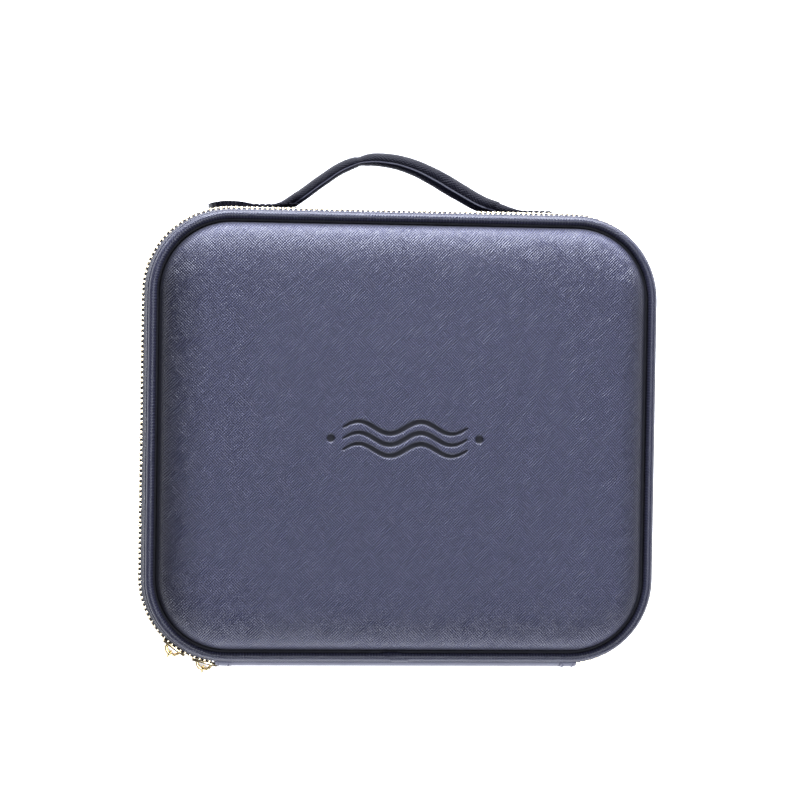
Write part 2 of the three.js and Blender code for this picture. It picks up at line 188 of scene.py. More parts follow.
def along_outline(point):
    """How far along the case's outline a point lies, from the middle of the +X side."""
    x, y = abs(point.x), abs(point.y)
    reach_out = 148 - CORNER_X
    if x > CORNER_X and y > CORNER_Y:
        run = CORNER_Y + reach_out * math.atan2(y - CORNER_Y, x - CORNER_X)
    elif x - CORNER_X > y - CORNER_Y:
        run = y
    else:
        run = CORNER_Y + reach_out * math.pi / 2 + CORNER_X - x
    quarter = CORNER_Y + reach_out * math.pi / 2 + CORNER_X
    if point.x < 0:
        run = 2 * quarter - run
    return 4 * quarter - run if point.y < 0 else run


OUTLINE_LENGTH = 4 * (CORNER_Y + 48 * math.pi / 2 + CORNER_X)


def map_flat(bm):
    layer = bm.loops.layers.uv.new("cloth")
    for face in bm.faces:
        for loop in face.loops:
            loop[layer].uv = loop.vert.co.xy * MM


def map_round(bm):
    """Cloth coordinates for a piece that runs round the case: along the outline, and up over the edge."""
    layer = bm.loops.layers.uv.new("cloth")
    for face in bm.faces:
        middle = along_outline(face.calc_center_median())
        for loop in face.loops:
            run = along_outline(loop.vert.co)
            if run - middle > OUTLINE_LENGTH / 2:
                run -= OUTLINE_LENGTH
            if middle - run > OUTLINE_LENGTH / 2:
                run += OUTLINE_LENGTH
            x, y, z = loop.vert.co
            inward = math.hypot(max(abs(x) - CORNER_X, 0), max(abs(y) - CORNER_Y, 0))
            loop[layer].uv = (run * MM, (z - inward) * MM)


def finish_piece(bm, name, body, materials, stands_for=(), crease=35):
    """Mesh, object, materials and frame calls for one finished piece."""
    for edge in bm.edges:
        edge.smooth = edge.calc_face_angle(0) < math.radians(crease)
    for face in bm.faces:
        face.smooth = True
    bmesh.ops.scale(bm, vec=(MM, MM, MM), verts=bm.verts)
    mesh = bpy.data.meshes.new(name)
    bm.to_mesh(mesh)
    bm.free()
    for material in materials:
        mesh.materials.append(material)
    piece = bpy.data.objects.new(name, mesh)
    scene.collection.objects.link(piece)
    if body:
        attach(piece, body)
    if stands_for:
        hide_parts(*stands_for)
    return piece


def node(tree, kind, **settings):
    """Adds a shader node. A setting is an attribute, or an input by name or by number, as in i0."""
    made = tree.nodes.new(kind)
    for key, value in settings.items():
        if hasattr(made, key):
            setattr(made, key, value)
            continue
        numbered = key[0] == "i" and key[1:].isdigit()
        plug = made.inputs[int(key[1:]) if numbered else key.replace("_", " ")]
        if isinstance(value, bpy.types.NodeSocket):
            tree.links.new(value, plug)
        else:
            plug.default_value = value
    return made


def new_group(name, inputs, outputs):
    tree = bpy.data.node_groups.new(name, "ShaderNodeTree")
    for title, kind, value in inputs:
        plug = tree.interface.new_socket(title, in_out="INPUT", socket_type=kind)
        if value is not None:
            plug.default_value = value
    for title, kind in outputs:
        tree.interface.new_socket(title, in_out="OUTPUT", socket_type=kind)
    return tree, tree.nodes.new("NodeGroupInput"), tree.nodes.new("NodeGroupOutput")


def maths(tree, operation, first, second=0.0, third=0.0):
    return node(tree, "ShaderNodeMath", operation=operation, i0=first, i1=second, i2=third).outputs[0]


def between(tree, value, low, high, to_low=0.0, to_high=1.0):
    """A value's place between two limits, carried over to two others."""
    return node(tree, "ShaderNodeMapRange", Value=value, From_Min=low, From_Max=high,
                To_Min=to_low, To_Max=to_high).outputs[0]


def mixed(tree, share, first, second):
    """A colour between two others. Each is a socket, or three numbers."""
    first, second = ((*colour, 1) if isinstance(colour, tuple) else colour for colour in (first, second))
    return node(tree, "ShaderNodeMixRGB", Fac=share, Color1=first, Color2=second).outputs[0]


def noise(tree, place, scale, detail=2, roughness=0.5):
    made = node(tree, "ShaderNodeTexNoise", Vector=place, Scale=scale, Detail=detail, Roughness=roughness)
    return made.outputs


def bumped(tree, shader, height, depth):
    bump = node(tree, "ShaderNodeBump", Distance=depth, Height=height)
    tree.links.new(bump.outputs["Normal"], shader.inputs["Normal"])


def new_material(name):
    material = bpy.data.materials.new(name)
    material.use_nodes = True
    return material, material.node_tree, material.node_tree.nodes["Principled BSDF"]


def cross_grain_group():
    """Fine diagonal strokes that cross; in some patches one direction wins."""
    tree, given, result = new_group(
        "cross_grain",
        [("Vector", "NodeSocketVector", None), ("Pitch", "NodeSocketFloat", 0.0012)],
        [("Height", "NodeSocketFloat"), ("Ribs", "NodeSocketFloat"), ("Patch", "NodeSocketFloat")],
    )
    place = given.outputs["Vector"]
    nudged = node(tree, "ShaderNodeMixRGB", blend_type="LINEAR_LIGHT", Fac=0.0003,
                  Color1=place, Color2=noise(tree, place, 260)["Color"])
    split = node(tree, "ShaderNodeSeparateXYZ", Vector=nudged.outputs[0])
    across = maths(tree, "DIVIDE", 2 * math.pi, given.outputs["Pitch"])
    half_turn = 0.707
    strokes = []
    for lean in (-half_turn, half_turn):
        sideways = maths(tree, "MULTIPLY", split.outputs["X"], half_turn)
        diagonal = maths(tree, "MULTIPLY_ADD", split.outputs["Y"], lean, sideways)
        onward = maths(tree, "MULTIPLY_ADD", split.outputs["Y"], -lean, sideways)
        wave = maths(tree, "SINE", maths(tree, "MULTIPLY", diagonal, across))
        run = node(tree, "ShaderNodeCombineXYZ", X=diagonal, Y=maths(tree, "MULTIPLY", onward, 0.12))
        streak = noise(tree, run.outputs[0], 1100)["Fac"]
        strokes.append(maths(tree, "MULTIPLY", maths(tree, "MULTIPLY_ADD", wave, 0.5, 0.5), streak))
    patches = noise(tree, place, 120, 3, 0.6)["Fac"]
    share = between(tree, patches, 0.34, 0.72)
    first = maths(tree, "MULTIPLY", strokes[0], maths(tree, "SUBTRACT", 1.0, share))
    second = maths(tree, "MULTIPLY", strokes[1], share)
    ribs = maths(tree, "MULTIPLY", maths(tree, "ADD", first, second), 1.7)
    grit = noise(tree, place, 900)["Fac"]
    tree.links.new(maths(tree, "MULTIPLY_ADD", grit, 0.35, ribs), result.inputs["Height"])
    tree.links.new(ribs, result.inputs["Ribs"])
    tree.links.new(patches, result.inputs["Patch"])
    return tree


cross_grain = cross_grain_group()


def leather(name, low, high, roughness, pitch=0.0012, depth=0.00016, pressed_and_shade_tone=None):
    """Grained leather. Given a dark tone, one attribute irons the grain flat and dark, for pressed marks and
    for painted shade down seams; another only darkens it, as painted shade.
    """
    material, tree, shader = new_material(name)
    cloth = node(tree, "ShaderNodeUVMap", uv_map="cloth")
    grain = node(tree, "ShaderNodeGroup", node_tree=cross_grain)
    tree.links.new(cloth.outputs["UV"], grain.inputs["Vector"])
    grain.inputs["Pitch"].default_value = pitch
    paint = mixed(tree, between(tree, grain.outputs["Ribs"], 0.1, 0.9), low, high)
    height = grain.outputs["Height"]
    gloss = between(tree, grain.outputs["Patch"], 0.3, 0.7, roughness - 0.04, roughness + 0.05)
    # The tone darkens the pressed marks, and gives painted shade down seams and over shoulders.
    if pressed_and_shade_tone:
        ironed_and_shaded, painted_shoulder_shade = (node(tree, "ShaderNodeAttribute", attribute_name=title).outputs["Fac"]
                        for title in ("pressing_and_painted_shade", "painted_shoulder_shade"))
        paint = mixed(tree, ironed_and_shaded, mixed(tree, painted_shoulder_shade, paint, pressed_and_shade_tone), pressed_and_shade_tone)
        height = maths(tree, "MULTIPLY", height, maths(tree, "SUBTRACT", 1.0, ironed_and_shaded))
        gloss = maths(tree, "MULTIPLY_ADD", ironed_and_shaded, 0.35, gloss)
    tree.links.new(paint, shader.inputs["Base Color"])
    tree.links.new(gloss, shader.inputs["Roughness"])
    bumped(tree, shader, height, depth)
    return material


# The panel's dark tone serves its pressed ornament and its painted shade.
panel_leather = leather("panel_leather", (0.017, 0.017, 0.033), (0.09, 0.092, 0.158), 0.37, depth=0.00032,
                        pressed_and_shade_tone=(0.006, 0.006, 0.012))
trim_leather = leather("trim_leather", (0.02, 0.02, 0.036), (0.05, 0.051, 0.085), 0.33, depth=0.00014)

PANEL_TOP = 121.3
panel_section = [
    (133.6, 105.9), (144.2, 105.9), (144.2, 106.15), (142.1, 106.2), (141.6, 107.8), (141.2, 109.3),
    (140.6, 110.9), (139.6, 112.8), (138.1, 114.7), (136, 116.5), (133.2, 117.9), (129.8, 119.1),
    (125.9, 120), (121.2, 120.65), (115.5, 121), (109, 121.2), (CORNER_X, PANEL_TOP),
]
CROWN_RISE = 0.6
GROOVE_TOP = 114                       # below this the panel's wall is darkened, painted shade down in the seam
PAINTED_SHADE_MOST = 0.9                          # how dark the painted shade gets over the panel's two side shoulders


def fill_with_grid(bm, height, corner_y=CORNER_Y):
    """Closes the straight-sided hole that a section leaves round the middle, with a grid of faces."""
    rim = [edge for edge in bm.edges if edge.is_boundary and abs(edge.verts[0].co.z - height) < 0.01]
    rails = [edge for edge in rim if abs(abs(edge.verts[0].co.y) - corner_y) < 0.01
             and abs(abs(edge.verts[1].co.y) - corner_y) < 0.01]
    return bmesh.ops.grid_fill(bm, edges=rails, use_smooth=True, use_interp_simple=True)["faces"]


# The panel carries a pressed ornament in its middle: three flowing locks between two round dots.
# It is pressed with a heated die, so its floor is smooth and darker: the pressed finish, with painted shade
# in the hollow.

LOCK_LENGTH, LOCK_SWING, LOCK_HALF = 72, 3.4, 1.25
LOCK_GAP = 6.4
DOT_AT, DOT_RADIUS = 43, 2.4
PRESS_DEPTH, PRESS_SHOULDER = 0.75, 0.7


def outside_ornament(x, y):
    """How far a point lies outside the ornament's nearest stroke. It is negative inside."""
    nearest = math.hypot(abs(x) - DOT_AT, y) - DOT_RADIUS
    share = abs(x) / (LOCK_LENGTH / 2)
    if share < 1.05:
        waves = 4 * math.pi / LOCK_LENGTH
        slope = LOCK_SWING * waves * math.cos(x * waves)
        half = LOCK_HALF * (0.35 + 0.9 * math.sqrt(max(0, 1 - share * share)))
        for offset in (-LOCK_GAP, 0, LOCK_GAP):
            off = abs(y - offset - LOCK_SWING * math.sin(x * waves))
            beyond = max(0, abs(x) - LOCK_LENGTH / 2)
            nearest = min(nearest, off / math.hypot(1, slope) - half + beyond)
    return nearest


bm = carry_round(panel_section, closed=False)
middle = []
for face in fill_with_grid(bm, PANEL_TOP):
    centre = face.calc_center_median()
    if abs(centre.x) < 60 and abs(centre.y) < 20.5:
        middle.append(face)
middle_edges = list({edge for face in middle for edge in face.edges})
bmesh.ops.subdivide_edges(bm, edges=middle_edges, cuts=35, use_grid_fill=True)
pressing_and_painted_shade = bm.verts.layers.float.new("pressing_and_painted_shade")
painted_shoulder_shade = bm.verts.layers.float.new("painted_shoulder_shade")
for vert in bm.verts:
    x, y = vert.co.xy
    # Painted shade: the leather is darkened over its two side shoulders, over a wider band on +X.
    shoulder = (x - 112) / 28 if x > 0 else (-x - 125) / 17
    vert[painted_shoulder_shade] = PAINTED_SHADE_MOST * min(1, max(0, shoulder)) ** 1.3
    # Painted shade down the groove wall, darkest at the bottom of the seam.
    if vert.co.z < GROOVE_TOP:
        vert[pressing_and_painted_shade] = min(1, (GROOVE_TOP - vert.co.z) / 4.5)
    if vert.co.z < PANEL_TOP - 0.01 or abs(x) > CORNER_X or abs(y) > CORNER_Y:
        continue
    vert.co.z += CROWN_RISE * math.cos(x / CORNER_X * math.pi / 2) * math.cos(y / CORNER_Y * math.pi / 2)
    if abs(x) < 50 and abs(y) < 16:
        outside = outside_ornament(x, y)
        sunk = min(1, max(0, 0.5 - outside / PRESS_SHOULDER))
        vert.co.z -= PRESS_DEPTH * sunk * sunk * (3 - 2 * sunk)
        # The pressed floor is darkened too: the pressed finish, with painted shade in the hollow.
        vert[pressing_and_painted_shade] = min(1, max(0, 0.6 - outside / 0.5))
rim = [edge for edge in bm.edges if edge.is_boundary]
ceiling = bmesh.ops.edgeloop_fill(bm, edges=rim)["faces"]
bmesh.ops.inset_region(bm, faces=ceiling, thickness=0.4, use_even_offset=True)
bmesh.ops.translate(bm, verts=list({vert for face in ceiling for vert in face.verts}), vec=(0, 0, 8.5))
face_out(bm)
map_flat(bm)
lid_panel = finish_piece(bm, "lid_panel_leather", "lid", [panel_leather], ["lid_panel"],
                         crease=70)

# ---- Piping --------------------------------------------------------------------------
# A cord wrapped in the same leather and sewn into the seam, once round the lid and once round
# the back. Its ends meet on a slant in the middle of the hinge side, one lapped over the other.

PIPING_RADIUS = 2.4
LAP_RADIUS = 2.95
LAP_FROM, LAP_TO = -2.5, 7
PIPING_Y = 145.5 - FRONT_SHORT
LIP_REACH, LIP_RADIUS, LIP_DROP = 147.9, 0.85, 1.9    # the folded edge that shows beside the cord


def add_to(bm, other):
    """Moves all of another mesh into this one."""
    stock = bpy.data.meshes.new("stock")
    other.to_mesh(stock)
    other.free()
    bm.from_mesh(stock)


QUARTER_Y = Matrix.Rotation(math.pi / 2, 4, "Y")
for name, height, body, stands_for in (("lid_piping_cord", 108.3, "lid", "lid_piping"),
                                       ("rear_piping_cord", 7.2, "case", "rear_piping")):
    bm = carry_round(round_section(145.5, height, PIPING_RADIUS, 16))
    lap = bmesh.ops.create_cone(
        bm, cap_ends=True, segments=20, radius1=LAP_RADIUS, radius2=LAP_RADIUS, depth=LAP_TO - LAP_FROM + 6,
        matrix=Matrix.Translation(((LAP_FROM + LAP_TO) / 2, PIPING_Y, height)) @ QUARTER_Y)["verts"]
    lap_edges = {edge for vert in lap for edge in vert.link_edges}
    lap_faces = {face for vert in lap for face in vert.link_faces}
    lap_geometry = [*lap, *lap_edges, *lap_faces]
    for place, facing in ((LAP_FROM, -1), (LAP_TO, 1)):
        cut = bmesh.ops.bisect_plane(bm, geom=lap_geometry, plane_co=(place, PIPING_Y, height),
                                     plane_no=(facing, facing * 0.9, 0), clear_outer=True)
        ends = [part for part in cut["geom_cut"] if isinstance(part, bmesh.types.BMEdge)]
        bmesh.ops.edgeloop_fill(bm, edges=ends)
        lap_geometry = [part for part in cut["geom"] if part.is_valid]
    lip_at = height + (-LIP_DROP if body == "lid" else LIP_DROP)
    add_to(bm, carry_round(round_section(LIP_REACH, lip_at, LIP_RADIUS, 10)))
    map_round(bm)
    finish_piece(bm, name, body, [trim_leather], [stands_for], crease=50)

# ---- The gusset ----------------------------------------------------------------------
# The side of the case: grained leather over board, its upper edge turned in and top-stitched
# just under the zip's tape.

GUSSET_REACH = 149
gusset_section = [
    (146.2, 10.1), (148.5, 9.9), (GUSSET_REACH, 10.5), (GUSSET_REACH, 48), (GUSSET_REACH, 86.9),
    (148.7, 87.7),
    (147.9, 88), (146.2, 88),
]
bm = carry_round(gusset_section)
map_round(bm)
gusset_leather = leather("gusset_leather", (0.022, 0.022, 0.04), (0.08, 0.082, 0.14), 0.42, depth=0.00025)
finish_piece(bm, "gusset_leather", "case", [gusset_leather], ["gusset"])


def spot_on_outline(run, reach):
    """The place and heading of a point that has gone this far round from the middle of the +X side."""
    arc = (reach - CORNER_X) * math.pi / 2
    legs = [
        (CORNER_Y, 0, 1, 1), (arc, 0, 1, 1), (2 * CORNER_X, 1, -1, 1), (arc, 1, -1, 1),
        (2 * CORNER_Y, 2, -1, -1), (arc, 2, -1, -1), (2 * CORNER_X, 3, 1, -1), (arc, 3, 1, -1),
        (CORNER_Y, 4, 1, -1),
    ]
    for i, (length, quarter, side_x, side_y) in enumerate(legs):
        if run <= length or i == len(legs) - 1:
            break
        run -= length
    heading = quarter * math.pi / 2
    if i % 2:
        angle = heading + run / (reach - CORNER_X)
        x = side_x * CORNER_X + (reach - CORNER_X) * math.cos(angle)
        y = side_y * CORNER_Y + (reach - CORNER_X) * math.sin(angle)
        return Vector((x, y, 0)), angle
    front = reach - FRONT_SHORT
    starts = [(reach, 0), (CORNER_X, front), (-reach, CORNER_Y), (-CORNER_X, -front), (reach, -CORNER_Y)]
    x, y = starts[i // 2]
    return Vector((x - run * math.sin(heading), y + run * math.cos(heading), 0)), heading


def outline_length(reach):
    return 4 * (CORNER_X + CORNER_Y) + 2 * math.pi * (reach - CORNER_X)


def block(bm, centre, size):
    """A box of three sizes about its centre, added to a mesh."""
    place = Matrix.Translation(centre) @ Matrix.Diagonal((*size, 1))
    return bmesh.ops.create_cube(bm, size=1, matrix=place)["verts"]


def soften(bm, geometry, offset, segments):
    """Takes edges off with a small round or chamfer."""
    bmesh.ops.bevel(bm, geom=geometry, offset=offset, segments=segments, profile=0.5, affect="EDGES",
                    material=-1)


def bar_mesh(length, width, height, bevel):
    """A small bar with its edges taken off: the stock of a stitch or of a zip tooth."""
    bm = bmesh.new()
    block(bm, (0, 0, 0), (width, length, height))
    soften(bm, bm.edges[:], bevel, 1)
    mesh = bpy.data.meshes.new("bar")
    bm.to_mesh(mesh)
    bm.free()
    return mesh


def set_along(bm, stock, places):
    """Copies of one small mesh, each at its own matrix, added to a mesh."""
    copies = bmesh.new()
    for place in places:
        before = len(copies.verts)
        copies.from_mesh(stock)
        copies.verts.ensure_lookup_table()
        bmesh.ops.transform(copies, matrix=place, verts=copies.verts[before:])
    add_to(bm, copies)


def plain_material(name, colour, roughness, metallic=0.0, fleck=0.15, fleck_scale=300.0, depth=0.00003):
    """A moulded, cast or spun finish: one colour with a fine mottle and a fine surface."""
    material, tree, shader = new_material(name)
    place = node(tree, "ShaderNodeTexCoord")
    mottle = noise(tree, place.outputs["Object"], fleck_scale, 3)["Fac"]
    dark = tuple(channel * (1 - fleck) for channel in colour)
    light = tuple(min(1, channel * (1 + fleck)) for channel in colour)
    tree.links.new(mixed(tree, mottle, dark, light), shader.inputs["Base Color"])
    gloss = between(tree, mottle, 0, 1, roughness - 0.06, roughness + 0.06)
    tree.links.new(gloss, shader.inputs["Roughness"])
    shader.inputs["Metallic"].default_value = metallic
    bumped(tree, shader, mottle, depth)
    return material


thread = plain_material("waxed_thread", (0.03, 0.03, 0.045), 0.6, fleck_scale=2500)
STITCH_PITCH = 4.2
stitch = bar_mesh(3.1, 0.75, 0.75, 0.22)
STITCH_HEIGHT = 85.4
stitch_count = round(outline_length(GUSSET_REACH) / STITCH_PITCH)
places = []
for i in range(stitch_count):
    run = (i + 0.5) * outline_length(GUSSET_REACH) / stitch_count
    spot, heading = spot_on_outline(run, GUSSET_REACH)
    spot.z = STITCH_HEIGHT
    places.append(Matrix.Translation(spot) @ Matrix.Rotation(heading, 4, "Z"))
bm = bmesh.new()
set_along(bm, stitch, places)
finish_piece(bm, "gusset_top_stitching", "case", [thread])

# ---- The zip -------------------------------------------------------------------------
# Number 5 metal chain: woven tape with a corded edge, and a gold tooth clamped on every
# three millimetres. The lid's teeth and the body's sit half a pitch apart, so they mesh.

ZIP_FROM, ZIP_TO = -104.8, 107.2       # the rear stretch, between these, has no zip
ZIP_SEAM = 97
TOOTH_PITCH = 3.0
TOOTH_REACH = {"body": 149.4, "lid": 149.6}     # the tape stands a little proud of the gusset
ZIP_SHIFT = Vector((1.2, 0.2, 0))      # it is sewn a little out towards the corner of the sliders


def close_ends(bm):
    bmesh.ops.holes_fill(bm, edges=[edge for edge in bm.edges if edge.is_boundary], sides=0)


def cut_rear(bm):
    """Takes a band away along the hinge side and closes its two ends."""
    for place in (ZIP_FROM, ZIP_TO):
        whole = bm.verts[:] + bm.edges[:] + bm.faces[:]
        bmesh.ops.bisect_plane(bm, geom=whole, plane_co=(place, 0, 0), plane_no=(1, 0, 0))
    rear = [face for face in bm.faces
            if face.calc_center_median().y > 0 and ZIP_FROM < face.calc_center_median().x < ZIP_TO]
    bmesh.ops.delete(bm, geom=rear, context="FACES")
    close_ends(bm)
    face_out(bm)


def woven_material(name, colour, thread_pitch, roughness=0.85):
    material, tree, shader = new_material(name)
    cloth = node(tree, "ShaderNodeUVMap", uv_map="cloth")
    split = node(tree, "ShaderNodeSeparateXYZ", Vector=cloth.outputs["UV"])
    turns = 2 * math.pi / thread_pitch
    warp = maths(tree, "SINE", maths(tree, "MULTIPLY", split.outputs["X"], turns))
    weft = maths(tree, "SINE", maths(tree, "MULTIPLY", split.outputs["Y"], turns))
    weave = maths(tree, "MULTIPLY_ADD", maths(tree, "MULTIPLY", warp, weft), 0.5, 0.5)
    fuzz = noise(tree, cloth.outputs["UV"], 1400)["Fac"]
    dark = tuple(channel * 0.7 for channel in colour)
    light = tuple(channel * 1.3 for channel in colour)
    tree.links.new(mixed(tree, weave, dark, light), shader.inputs["Base Color"])
    shader.inputs["Roughness"].default_value = roughness
    shader.inputs["Sheen Weight"].default_value = 0.15
    bumped(tree, shader, maths(tree, "MULTIPLY_ADD", fuzz, 0.4, weave), 0.00012)
    return material


zip_tape = woven_material("zip_tape", (0.022, 0.022, 0.034), 0.0007)
gold = plain_material("pale_gold_plate", (0.9, 0.72, 0.4), 0.2, metallic=1.0, fleck=0.1, fleck_scale=700)
chain_plate = plain_material("chain_plate", (0.84, 0.75, 0.56), 0.22, metallic=1.0, fleck=0.1,
                             fleck_scale=700)

tape_sections = {
    "body": [
        (146.8, 86.5), (147.5, 86.5), (148.3, 91.6), (150.2, 93.4), (150.35, 94.4), (149.9, 95), (147.9, 95),
    ],
    "lid": [
        (147.9, 98.6), (150.1, 98), (150.2, 98.6), (149.1, 99.5), (149.1, 100.8), (148.3, 102.4),
        (147.5, 106),
        (146.8, 106),
    ],
}
tooth = bar_mesh(1.5, 2.5, 3.3, 0.32)
tooth_count = round(outline_length(TOOTH_REACH["lid"]) / TOOTH_PITCH)
for side, body, ahead, height in (("body", "case", 0.0, 95.95), ("lid", "lid", 0.5, 98.05)):
    bm = carry_round(tape_sections[side])
    cut_rear(bm)
    map_round(bm)
    shift(bm, ZIP_SHIFT)
    finish_piece(bm, f"{side}_zip_tape_weave", body, [zip_tape], [f"{side}_zip_tape"])
    places = []
    for i in range(tooth_count):
        reach = TOOTH_REACH[side]
        spot, heading = spot_on_outline((i + ahead) * outline_length(reach) / tooth_count, reach)
        if spot.y > 0 and ZIP_FROM < spot.x < ZIP_TO:
            continue
        spot += ZIP_SHIFT + Vector((0, 0, height))
        places.append(Matrix.Translation(spot) @ Matrix.Rotation(heading, 4, "Z"))
    bm = bmesh.new()
    set_along(bm, tooth, places)
    finish_piece(bm, f"{side}_zip_chain", body, [chain_plate], [f"{side}_zip_teeth"])

# ---- The cloth hinge and the zip's end tabs ------------------------------------------
# One strip of leather joins the lid to the case along the hinge side; the zip ends under a
# short tab at each end of it, sewn down with two rows. All three have rows enough to bend, and are fixed to
# neither lid nor case.

HINGE_LOW, HINGE_HIGH = 80, 105.6
HINGE_ROWS = 22
HINGE_TUCK = 1.1                       # how far the strip's upper edge tucks in under the piping


def corner_drop(x):
    """How far the case's outline has turned in by a place along X, past the start of its corner."""
    over = max(abs(x) - CORNER_X, 0)
    return 50 - math.sqrt(2500 - over * over)


def strip_face(x, z, low, high, bow):
    """Where a strip's outer face is along Y: it bows out a little, and tucks in under the piping."""
    up = (z - low) / (high - low)
    tuck = HINGE_TUCK * max(0, (up - 0.7) / 0.3) ** 2
    return STRIP_OUTER - corner_drop(x) + bow * math.sin(up * math.pi) - tuck


def strip(from_x, to_x, low, high, inner, outer, bow):
    """A flat strip standing along the hinge side, with enough rows to bend, and its ends closed."""
    bm = bmesh.new()
    rows = [low + (high - low) * i / HINGE_ROWS for i in range(HINGE_ROWS + 1)]
    edge = 0.35
    outside = [(from_x, outer - (edge if row in (low, high) else 0), row) for row in rows]
    inside = [(from_x, inner, row) for row in reversed(rows)]
    _, edges = chain(bm, outside + inside, closed=True)
    push(bm, edges, (to_x - from_x, 0, 0), 24)
    close_ends(bm)
    face_out(bm)
    for vert in bm.verts:
        vert.co.y += strip_face(vert.co.x, vert.co.z, low, high, bow) - STRIP_OUTER
    layer = bm.loops.layers.uv.new("cloth")
    for face in bm.faces:
        for loop in face.loops:
            loop[layer].uv = (loop.vert.co.x * MM, (loop.vert.co.z - loop.vert.co.y) * MM)
    return bm


STRIP_OUTER = 132.6
strip_leather = leather("strip_leather", (0.045, 0.046, 0.08), (0.078, 0.081, 0.133), 0.38, depth=0.0001)
bm = strip(-95, 97, HINGE_LOW, HINGE_HIGH, 131.3, STRIP_OUTER, 1.7)
hinge = finish_piece(bm, "hinge_strip_leather", None, [strip_leather],
                     ["hinge_strip_lower", "hinge_strip_upper"])
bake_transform(hinge)
TAB_LOW, TAB_HIGH, TAB_BOW = 84, 106.8, 1.6
SEAM_INSET, SEAM_PITCH = 1.8, 3.1
for side, from_x, to_x in (("left", -104.7, -95.2), ("right", 97.2, 106.7)):
    bm = strip(from_x, to_x, TAB_LOW, TAB_HIGH, 131.4, STRIP_OUTER, TAB_BOW)
    sewn = bar_mesh(0.6, 0.6, 2.2, 0.18)
    for row in (from_x + SEAM_INSET, to_x - SEAM_INSET):
        places = []
        for i in range(7):
            height = TAB_LOW + 2 + SEAM_PITCH * i
            face_y = strip_face(row, height, TAB_LOW, TAB_HIGH, TAB_BOW)
            places.append(Matrix.Translation((row, face_y, height)))
        set_along(bm, sewn, places)
    name = f"zip_end_tab_{side}"
    tab = finish_piece(bm, f"{name}_leather", None, [strip_leather], [name])
    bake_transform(tab)

# ---- Zip sliders and pulls -----------------------------------------------------------
# Die-cast and plated pale gold. A slider has a flared plate with turned-in lips and a round
# bridge; its pull is a ring through the bridge and a leaf that hangs from the ring.

SLIDER_SPOTS = {"a": 53.8, "b": 75.8}
BRIDGE_RADIUS, BRIDGE_WIRE = 4.2, 1.0
PULL_RING, RING_DROP = 2.0, 0.5
PLATE_REACH = 51.5                     # middle of the plate, from the corner's centre
PLATE_SIZE = (1.6, 15, 9)
LEAF_SIZE = (1.2, 6.5, 21)
PULL_WIRE = 0.6


def sharp_edges(bm, least):
    return [edge for edge in bm.edges if edge.calc_face_angle(0) > least]


def place_on_corner(bm, degrees):
    turned_by = Matrix.Rotation(math.radians(degrees), 3, "Z")
    bmesh.ops.rotate(bm, verts=bm.verts, cent=(0, 0, 0), matrix=turned_by)
    shift(bm, (CORNER_X, CORNER_Y, ZIP_SEAM))


def spun_ring(bm, centre, radius, wire, axis, angle=2 * math.pi, steps=28, start=(1, 0, 0)):
    """A round wire bent round an axis: a full ring, or a bridge whose ends are buried."""
    out = Vector(start)
    side = Vector(axis)
    middle = Vector(centre) + out * radius
    ring = []
    for i in range(12):
        round_wire = i * math.pi / 6
        ring.append(middle + wire * (math.cos(round_wire) * out + math.sin(round_wire) * side))
    verts, edges = chain(bm, ring, closed=True)
    whole = abs(angle - 2 * math.pi) < 0.001
    bmesh.ops.spin(bm, geom=verts + edges, cent=centre, axis=axis, angle=angle, steps=steps, use_merge=whole)


for name, degrees in SLIDER_SPOTS.items():
    bm = bmesh.new()
    block(bm, (PLATE_REACH, 0, 0), PLATE_SIZE)
    long_edges = [edge for edge in bm.edges if abs(edge.verts[0].co.y - edge.verts[1].co.y) > 1]
    bmesh.ops.subdivide_edges(bm, edges=long_edges, cuts=3)
    for vert in bm.verts:
        vert.co.z *= 1 - 0.22 * abs(2 * vert.co.y / PLATE_SIZE[1]) ** 1.5
    soften(bm, bm.edges[:], 0.4, 2)
    spun_ring(bm, (PLATE_REACH + 0.3, 0, 0), BRIDGE_RADIUS, BRIDGE_WIRE, (0, 0, 1), math.pi, 20, (0, -1, 0))
    close_ends(bm)
    face_out(bm)
    place_on_corner(bm, degrees)
    finish_piece(bm, f"slider_{name}_casting", f"slider_{name}", [gold], [f"slider_{name}"])

    bm = bmesh.new()
    wire_reach = PLATE_REACH + 0.5 + BRIDGE_RADIUS
    spun_ring(bm, (wire_reach, 0, -RING_DROP), PULL_RING, PULL_WIRE, (0, 1, 0))
    leaf_top = PULL_WIRE / 2 - RING_DROP - PULL_RING
    leaf = block(bm, (wire_reach, 0, leaf_top - LEAF_SIZE[2] / 2), LEAF_SIZE)
    leaf_edges = list({edge for vert in leaf for edge in vert.link_edges})
    corners = [edge for edge in leaf_edges if abs(edge.verts[0].co.x - edge.verts[1].co.x) > 1]
    soften(bm, corners, 2.2, 5)
    soften(bm, sharp_edges(bm, 1.2), 0.3, 2)
    face_out(bm)
    place_on_corner(bm, degrees)
    finish_piece(bm, f"pull_{name}_casting", f"pull_{name}", [gold], [f"pull_{name}"])

# ---- The handle ----------------------------------------------------------------------
# A roll of smooth leather over a soft core, wrapped so that one edge laps along the inside
# of the bow. It thins to its feet, which are sewn down flat on two long tabs.

HANDLE_HEIGHT = 50
GUSSET_FACE = -(149 - FRONT_SHORT)
HANDLE_BOW = [
    (65, 5.4), (61.5, 7.7), (56, 11.6), (44, 20.6), (31, 29), (18, 33), (6, 33), (-8, 30), (-22, 24),
    (-38, 15.2), (-52, 8), (-62, 5.4),
]
# half the roll's thickness at each place along X
ROLL_HALF = [(65, 3.8), (30, 3.8), (22, 3.4), (12, 4.2), (-30, 5.8), (-50, 5.4), (-62, 4.4)]
ROLL_TALL = 8.0                         # half the roll's height: it is taller than it is thick
HANDLE_STEPS = 96

